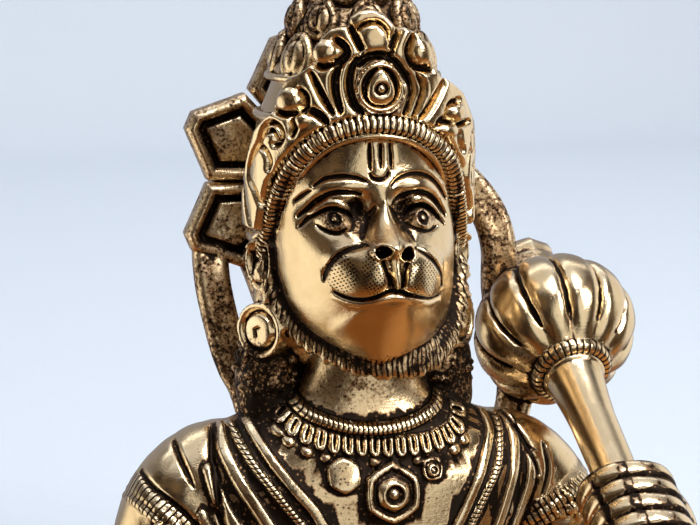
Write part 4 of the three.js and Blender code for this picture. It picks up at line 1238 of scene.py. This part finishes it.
def inked(x, y, z):
    """How far a point lies in a cut that holds black, from 0 to 1."""
    ink = np.zeros(len(x))

    def stain(where, amount):
        ink[where] = np.maximum(ink[where], amount)

    face = (y < -4) & (np.abs(x) < 12.2) & (z > 44.5) & (z < 73.4)
    u, v = x[face], z[face]
    found = np.zeros(len(u))
    for points, width, _ in FACE_LINES:
        found = np.maximum(found, incised(u, v, points, width * 0.9, 1.5))
    for line in LIP_GROOVES:
        found = np.maximum(found, 1.2 * bell(trail(u, v, line)[0], 0, 0.27))
    for at, half in NOSTRILS:
        found = np.maximum(found, 1.3 * smooth(1.05, 0.8, share_of(u, v, at, half)))
    for _, iris, lid in EYES:
        found = np.maximum(found, incised(u, v, lowered(lid, LID_CREASE), 0.24, 1.2))
        found = np.maximum(found, bell(np.hypot(u - iris[0], v - iris[1]), IRIS_CUT, 0.17))
    stain(face, found)
    round_it = (y < -0.5) & (np.abs(x) < 13) & (z > 44.5) & (z < 72)
    past = np.abs(x[round_it]) - face_wide(x[round_it], z[round_it])
    stain(round_it, bell(past, 0.15, 0.42) * smooth(72, 67, z[round_it]))
    front = (y < 4) & (z > 60) & (z < 89)
    s, out = round_front(x[front], y[front], z[front])
    stain(front, lookup(PLATE[2], s, z[front], PLATE_CORNER) * smooth(-1.6, -1.2, out))
    chest = (y < 0) & (z < 41) & (np.abs(x) < 22)
    stain(chest, lookup(CHEST[1], x[chest], z[chest], CHEST_CORNER) * smooth(1, -2, y[chest]))
    arms = (y < 1) & (z < 38) & (z > 24)
    stain(arms, 1.5 * arm_grooves(x[arms], z[arms]))
    disc = (y > 15) & (y < 19.4) & (z > 43)
    stain(disc, bell(petals(x[disc], z[disc]), -1.95, 0.3))
    stain(slice(None), hand_ink(x, y, z))
    globe = (x > 16) & (y > -6) & (z > 32)
    along, r, _, slot = mace_grooves(x[globe], y[globe], z[globe])
    stain(globe, 1.2 * slot * smooth(7, 7.6, np.hypot(r, along)))
    return np.clip(ink, 0, 1)


def hand_ink(x, y, z):
    """Black between the fingers and in the lines of the knuckles."""
    along, p, t = measured(x, y, z, GLOBE, (MACE_DIR, MACE_ACROSS, MACE_TOP))
    r, angle = np.hypot(p, t), np.arctan2(t, p)
    step = (along - GRIP) / FINGER_PITCH
    between = smooth(0.18, 0.07, np.abs(step - np.round(step))) * (np.abs(step) < 2.3)
    lines = sum(smooth(0.36, 0.16, np.abs(angle - at) * r) for at in KNUCKLE_TURNS)
    return np.maximum(between, lines * (np.abs(step) < 1.95)) * (r > 3.6) * (r < 8)


def along_path(points, path, reach):
    """Which points lie near a path, how far along it and how far off it."""
    near = ((points > path.min(0) - reach) & (points < path.max(0) + reach)).all(1)
    spots = points[near]
    off, place = np.full(len(spots), 99.0), np.zeros(len(spots))
    done = 0.0
    for p, q in zip(path[:-1], path[1:]):
        v = q - p
        n = np.linalg.norm(v)
        t = np.clip((spots - p) @ v / n**2, 0, 1)
        d = np.linalg.norm(spots - p - t[:, None] * v, axis=1)
        closer = d < off
        off = np.where(closer, d, off)
        place = np.where(closer, done + t * n, place)
        done += n
    return near, place, off


# Cords on the chest: line, rib pitch, half width, whether the ribs lean.
CHEST_CORDS = [(ROPES[0], 0.6, 0.62, 1), (ROPES[1], 0.6, 0.62, 1), (BEADS, 0.62, 0.9, 0)]


def ribbing(points):
    """Count of fine ribs at each point, how strongly they are cut, and the black kept by the beard."""
    x, y, z = points.T
    count, depth, soot_and_shade = np.zeros(len(x)), np.zeros(len(x)), np.zeros(len(x))

    def put(where, turns, amount):
        stronger = amount > depth[where]
        count[where] = np.where(stronger, turns, count[where])
        depth[where] = np.where(stronger, amount, depth[where])

    near, place, off = along_path(points, BAND_PATH, 1.6)
    put(near, band_turns(place), smooth(1.35, 1.1, off))
    near, place, off = along_path(points, STRAP_PATH, 3)
    around = np.arctan2(x[near], 4 - y[near]) * 12
    around = around + 0.08 * np.sin(z[near] * 1.7) + 0.07 * np.sin(x[near] * 5)
    put(near, around / 0.5, smooth(2.15, 1.8, off) * 0.52)
    soot_and_shade[near] = 0.5 * smooth(2.5, 2.0, off)
    chest = (y < 0) & (z < 42) & (np.abs(x) < 22)
    u, v = x[chest], z[chest]
    for line, pitch, half, slant in CHEST_CORDS:
        off, share = trail(u, v, line, 60)
        lean = slant * 0.9 * (0.8 * np.abs(u) - 0.6 * v) / pitch * 0.5
        turns = share * length_of(curve(line, 60)) / pitch + lean
        put(chest, turns, smooth(half, half - 0.2, off))
    for at, aim, r in ARMLETS:
        w = unit(aim)
        u = unit(np.cross((0, 1, 0), w))
        q = points - np.array(at)
        along = q @ w
        away = np.hypot(q @ u, q @ np.cross(w, u))
        angle = np.arctan2(q @ np.cross(w, u), q @ u)
        here = smooth(1.9, 1.6, np.abs(along)) * smooth(r - 0.5, r - 0.1, away)
        put(slice(None), angle * 9, here * smooth(r + 1.6, r + 1.2, away))
    q = points - GLOBE
    along, p, t = q @ MACE_DIR, q @ MACE_ACROSS, q @ MACE_TOP
    off = np.hypot(np.hypot(p, t) - COLLAR_RING, along - COLLAR_AT)
    put(slice(None), np.arctan2(t, p) * 34 / (2 * np.pi), smooth(1.15, 0.95, off))
    return count, depth, soot_and_shade


# Patches of dots on the whisker pads: place, half sizes.
DOTTED = [
    ((-5.6, 57.3), (1.6, 2.5)), ((-2.2, 57.6), (1.4, 2.7)), ((2.9, 57.3), (1.0, 2.5)),
    ((5.2, 56.8), (1.6, 2.5)),
]


def whiskered(x, y, z):
    """1 on the patches of the whisker pads that are punched with dots."""
    patches = sum(smooth(1.1, 0.8, share_of(x, z, at, half)) for at, half in DOTTED)
    return np.minimum(1, patches) * (y < -8)


# The whole casting.
whole = Clay([ax[0] for ax in AXES], [ax[-1] for ax in AXES])
make_trunk(whole)
make_tail(whole)
make_nimbus(whole)
carve_front(whole)
make_armlets(whole)
make_ears(whole)
make_head(whole)
make_crown(whole)
make_mace(whole)
make_hand(whole)
whole.d = np.maximum(whole.d, -AXES[2][None, None, :])
points, quads = surface(whole.d)
fine, wide = hollows(points, quads, (6, 36))
count, depth, beard = ribbing(points)
layers = {
    "fine": fine,
    "wide": wide,
    # Patina and painted shade from the places above, together with the beard's dark patina.
    "soot_and_shade": np.maximum(soot_and_shade_amount(*points.T), beard),
    "ink": inked(*points.T),
    "whisker": whiskered(*points.T),
    "rib": count,
    "ribbed": depth,
}
figure = mesh_object("figure_carved", points, quads, layers, MOST_TRIANGLES)
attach(figure, "root")
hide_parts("figure")


# Brass.
class Value:
    """A socket whose sums and products add their Math nodes."""

    def __init__(self, graph, socket):
        self.graph, self.socket = graph, socket

    def math(self, operation, *others, clamp=False):
        made = self.graph.node("Math", {"operation": operation, "use_clamp": clamp}, self, *others)
        return Value(self.graph, made.outputs[0])

    def __add__(self, other):
        return self.math("ADD", other)

    def __mul__(self, other):
        return self.math("MULTIPLY", other)

    def __sub__(self, other):
        return self.math("SUBTRACT", other)

    def __rsub__(self, other):
        made = self.graph.node("Math", {"operation": "SUBTRACT"}, other, self)
        return Value(self.graph, made.outputs[0])

    __radd__ = __add__
    __rmul__ = __mul__

    def clamp(self):
        return self.math("ADD", 0.0, clamp=True)

    def ramp(self, low, high):
        made = self.graph.node("MapRange", {"clamp": True}, self, low, high, 0.0, 1.0)
        return Value(self.graph, made.outputs[0])


class Graph:
    """Empty node tree of a material or a world."""

    def __init__(self, owner):
        owner.use_nodes = True
        self.tree = owner.node_tree
        self.tree.nodes.clear()

    def node(self, kind, settings=None, *inputs, **named):
        made = self.tree.nodes.new("ShaderNode" + kind)
        for key, value in (settings or {}).items():
            setattr(made, key, value)
        for key, value in [*enumerate(inputs), *named.items()]:
            self.feed(made.inputs[key], value)
        return made

    def feed(self, socket, value):
        """Links a value to a socket, or sets the socket to a plain one."""
        if isinstance(value, Value):
            value = value.socket
        if isinstance(value, bpy.types.NodeSocket):
            self.tree.links.new(value, socket)
        else:
            socket.default_value = value

    def attribute(self, name):
        return Value(self, self.node("Attribute", {"attribute_name": name}).outputs["Fac"])

    def noise(self, place, scale, detail=3.0, rough=0.6):
        made = self.node("TexNoise", {}, Vector=place, Scale=scale, Detail=detail, Roughness=rough)
        return Value(self, made.outputs["Fac"])

    def cells(self, place, scale, scatter=1.0):
        made = self.node("TexVoronoi", {"feature": "F1"}, Vector=place, Scale=scale, Randomness=scatter)
        return Value(self, made.outputs["Distance"])

    def stretched(self, place, turn, scale):
        return self.node("Mapping", {}, Vector=place, Rotation=turn, Scale=scale).outputs[0]

    def mix(self, share, first, second):
        made = self.node("Mix", {"data_type": "RGBA"})
        for index, value in ((0, share), (6, first), (7, second)):
            self.feed(made.inputs[index], value)
        return made.outputs[2]


def colour(r, g, b):
    return (r, g, b, 1.0)


# File marks on the brass run in two directions: rotation, scale.
FILE_MARKS = [
    ((0.3, 0.5, 0.9), (260.0, 7000.0, 5200.0)),
    ((1.1, -0.4, -0.6), (5200.0, 220.0, 6800.0)),
]


def brass_material():
    material = bpy.data.materials.new("old_brass")
    g = Graph(material)
    place = g.node("TexCoord").outputs["Object"]
    fine, wide, soot_and_shade, ink = [g.attribute(name) for name in ("fine", "wide", "soot_and_shade", "ink")]
    ribbed_here = g.attribute("ribbed").ramp(0.3, 0.7)
    rib = (g.attribute("rib") * math.pi).math("SINE").math("ABSOLUTE")
    gap = rib.ramp(0.75, 0.3) * ribbed_here
    grain = g.noise(place, 2200.0, 3.0, 0.65)
    cloud = g.noise(place, 420.0, 4.0, 0.65)
    blotch = g.noise(place, 85.0, 4.0, 0.6)
    pits, flecks = g.cells(place, 900.0), g.cells(place, 1900.0)
    dots = g.stretched(place, (0.0, 0.6, 0.0), (2700.0, 60.0, 2700.0))
    whiskers = g.cells(dots, 1.0, 0.25).ramp(0.34, 0.24) * g.attribute("whisker").ramp(0.3, 0.6)
    # Dark patina sits where the surface is sunk below its neighbourhood and on sheltered ground, and the soot
    # mask also paints shade behind the head, under the chin and the mace and in the armpits.
    sunk = fine.ramp(0.012, 0.075) * 0.85 + wide.ramp(0.1, 0.4) * 0.24 + soot_and_shade * 0.75 + ink * 1.05 + gap * 0.95
    sunk = sunk + (cloud - 0.5) * 1.0 + (grain - 0.5) * (0.5 + soot_and_shade * 0.8)
    dark = sunk.ramp(0.38, 0.8)
    worn = (fine * -1.0).ramp(0.01, 0.07)
    specks = pits.ramp(0.16, 0.08) * (cloud - 0.1).ramp(0.42, 0.5) * (0.35 + soot_and_shade * 0.65)
    tint = g.mix(blotch.ramp(0.35, 0.65), colour(0.66, 0.49, 0.28), colour(0.82, 0.65, 0.41))
    tint = g.mix(worn * 0.6, tint, colour(0.95, 0.8, 0.56))
    tint = g.mix(dark.ramp(0.0, 0.7) * 0.8, tint, colour(0.30, 0.13, 0.045))
    specks = specks + flecks.ramp(0.36, 0.24) * (grain + cloud).ramp(0.9, 1.05) * soot_and_shade.ramp(0.12, 0.35)
    rubbed = g.cells(place, 1500.0).ramp(0.3, 0.18) * (grain + cloud).ramp(0.98, 1.1) * 0.7
    black = ((dark.ramp(0.35, 1.0) + specks * 0.8) * (1.0 - rubbed) + whiskers).clamp()
    tint = g.mix(black, tint, colour(0.022, 0.015, 0.011))
    marks = []
    for turn, scale in FILE_MARKS:
        marks.append(g.noise(g.stretched(place, turn, scale), 1.0, 2.0, 0.6))
    rough = 0.18 + (cloud - 0.5) * 0.18 + (marks[0] - 0.5) * 0.12 + dark * 0.3 + soot_and_shade * 0.15
    height = grain * (0.25 + soot_and_shade) + marks[0] * 0.5 + marks[1] * 0.35
    height = height + pits.ramp(0.0, 0.35) * (0.15 + soot_and_shade * 1.2) + cloud * 0.5
    height = height + rib.math("SQRT") * ribbed_here * 2.4
    bump = g.node("Bump", {}, Strength=0.55, Distance=0.00006, Height=height)
    looks = {"Base Color": tint, "Roughness": rough.clamp(), "Metallic": 1.0, "Normal": bump.outputs[0]}
    shader = g.node("BsdfPrincipled", {}, **looks)
    g.node("OutputMaterial", {}, shader.outputs[0])
    return material


figure.data.materials.clear()
figure.data.materials.append(brass_material())


# Floor, lights and camera.
def plain_material(name, tint, rough):
    material = bpy.data.materials.new(name)
    g = Graph(material)
    place = g.node("TexCoord").outputs["Object"]
    grain = g.noise(place, 420.0, 3.0, 0.6)
    tone = g.mix((grain - 0.5) * 0.5 + 0.5, colour(*[c * 0.97 for c in tint[:3]]), tint)
    bump = g.node("Bump", {}, Strength=0.2, Distance=0.0004, Height=grain)
    looks = {"Base Color": tone, "Roughness": rough, "Normal": bump.outputs[0]}
    shader = g.node("BsdfPrincipled", {}, **looks)
    g.node("OutputMaterial", {}, shader.outputs[0])
    return material


def sweep_floor():
    """Pale floor that curves up into a wall, far enough behind the figure to walk round it."""
    bend_from, bend, wall_at, wall_top = 0.56, 0.1, 0.66, 1.4
    profile = [(-1.6, 0.0), (bend_from, 0.0)]
    for i in range(1, 17):
        a = i / 16 * math.pi / 2
        profile.append((bend_from + bend * math.sin(a), bend - bend * math.cos(a)))
    profile.append((wall_at, wall_top))
    verts = [(x, y, z) for x in (-1.4, 1.4) for y, z in profile]
    n = len(profile)
    faces = [(i, n + i, n + i + 1, i + 1) for i in range(n - 1)]
    mesh = bpy.data.meshes.new("floor")
    mesh.from_pydata(verts, [], faces)
    floor = bpy.data.objects.new("floor", mesh)
    bpy.context.scene.collection.objects.link(floor)
    mesh.polygons.foreach_set("use_smooth", [True] * len(mesh.polygons))
    mesh.materials.append(plain_material("pale_paper", colour(0.7, 0.765, 0.85), 0.8))
    floor.visible_glossy = False


def area(name, at, aim, size, power, tint=(1, 1, 1)):
    light = bpy.data.lights.new(name, "AREA")
    light.shape = "RECTANGLE"
    light.size, light.size_y = size
    light.energy = power
    light.color = tint
    lamp = bpy.data.objects.new(name, light)
    lamp.location = at
    lamp.rotation_euler = (Vector(aim) - Vector(at)).to_track_quat("-Z", "Y").to_euler()
    bpy.context.scene.collection.objects.link(lamp)


# Bright and coloured parts of the room: direction, cosines where each starts and is full, colour.
WINDOWS = [
    ((0.15, 1, 0.1), 0.1, 0.7, (0.34, 0.34, 0.38)),
    ((0, 0, -1), 0.35, 0.65, (0.26, 0.1, 0.03)),
    ((0.6, -0.1, -0.8), 0.82, 0.95, (0.55, 0.27, 0.1)),
    ((1, 0.35, 0.1), 0.8, 0.9, (1.0, 0.98, 0.95)),
    ((-0.95, 0.25, -0.2), 0.83, 0.91, (1.35, 1.26, 1.08)),
    ((0.2, -0.94, 0.2), 0.87, 0.93, (0.95, 0.92, 0.85)),
    ((-0.1, 0.1, 1), 0.72, 0.88, (0.8, 0.81, 0.85)),
]


def room_light():
    """Warm dark room with a pale wall behind, a bright ceiling and a bright left side, seen in the metal."""
    world = bpy.data.worlds.new("room")
    bpy.context.scene.world = world
    g = Graph(world)
    way = g.node("TexCoord").outputs["Generated"]

    def facing(x, y, z):
        made = g.node("VectorMath", {"operation": "DOT_PRODUCT"}, way, tuple(unit((x, y, z))))
        return Value(g, made.outputs["Value"])

    patches = g.noise(way, 2.6, 2.0, 0.5)
    light = g.mix(patches.ramp(0.45, 0.6), colour(0.016, 0.011, 0.008), colour(0.16, 0.11, 0.07))
    for towards, start, full, tint in WINDOWS:
        light = g.mix(facing(*towards).ramp(start, full), light, colour(*tint))
    back = g.node("Background", {}, light, 1.0)
    g.node("OutputWorld", {}, back.outputs[0])


sweep_floor()
room_light()
area("window", (0.42, -0.5, 0.46), (0, 0, 0.06), (0.26, 0.3), 2.2, (1.0, 0.98, 0.94))
area("sky", (0.1, -0.25, 0.7), (0, 0.02, 0.06), (0.4, 0.3), 3.6, (0.95, 0.97, 1.0))
area("backdrop", (0.05, 0.36, 0.62), (0.05, 0.68, 0.1), (1.0, 0.14), 1.2, (0.95, 0.97, 1.0))
bpy.context.scene.view_settings.view_transform = "Standard"

camera_data = bpy.data.cameras.new("camera")
camera = bpy.data.objects.new("camera", camera_data)
bpy.context.scene.collection.objects.link(camera)
target = Vector((-0.00371, -0.010, 0.058))
toward = Vector((-0.2382, -0.9555, 0.1736))
camera_distance = 0.25
camera.location = target + toward * camera_distance
camera.rotation_euler = (-toward).to_track_quat("-Z", "Y").to_euler()
camera_data.sensor_width = 36.0
camera_data.lens = 107.1
camera_data.clip_start = 0.01
bpy.context.scene.camera = camera
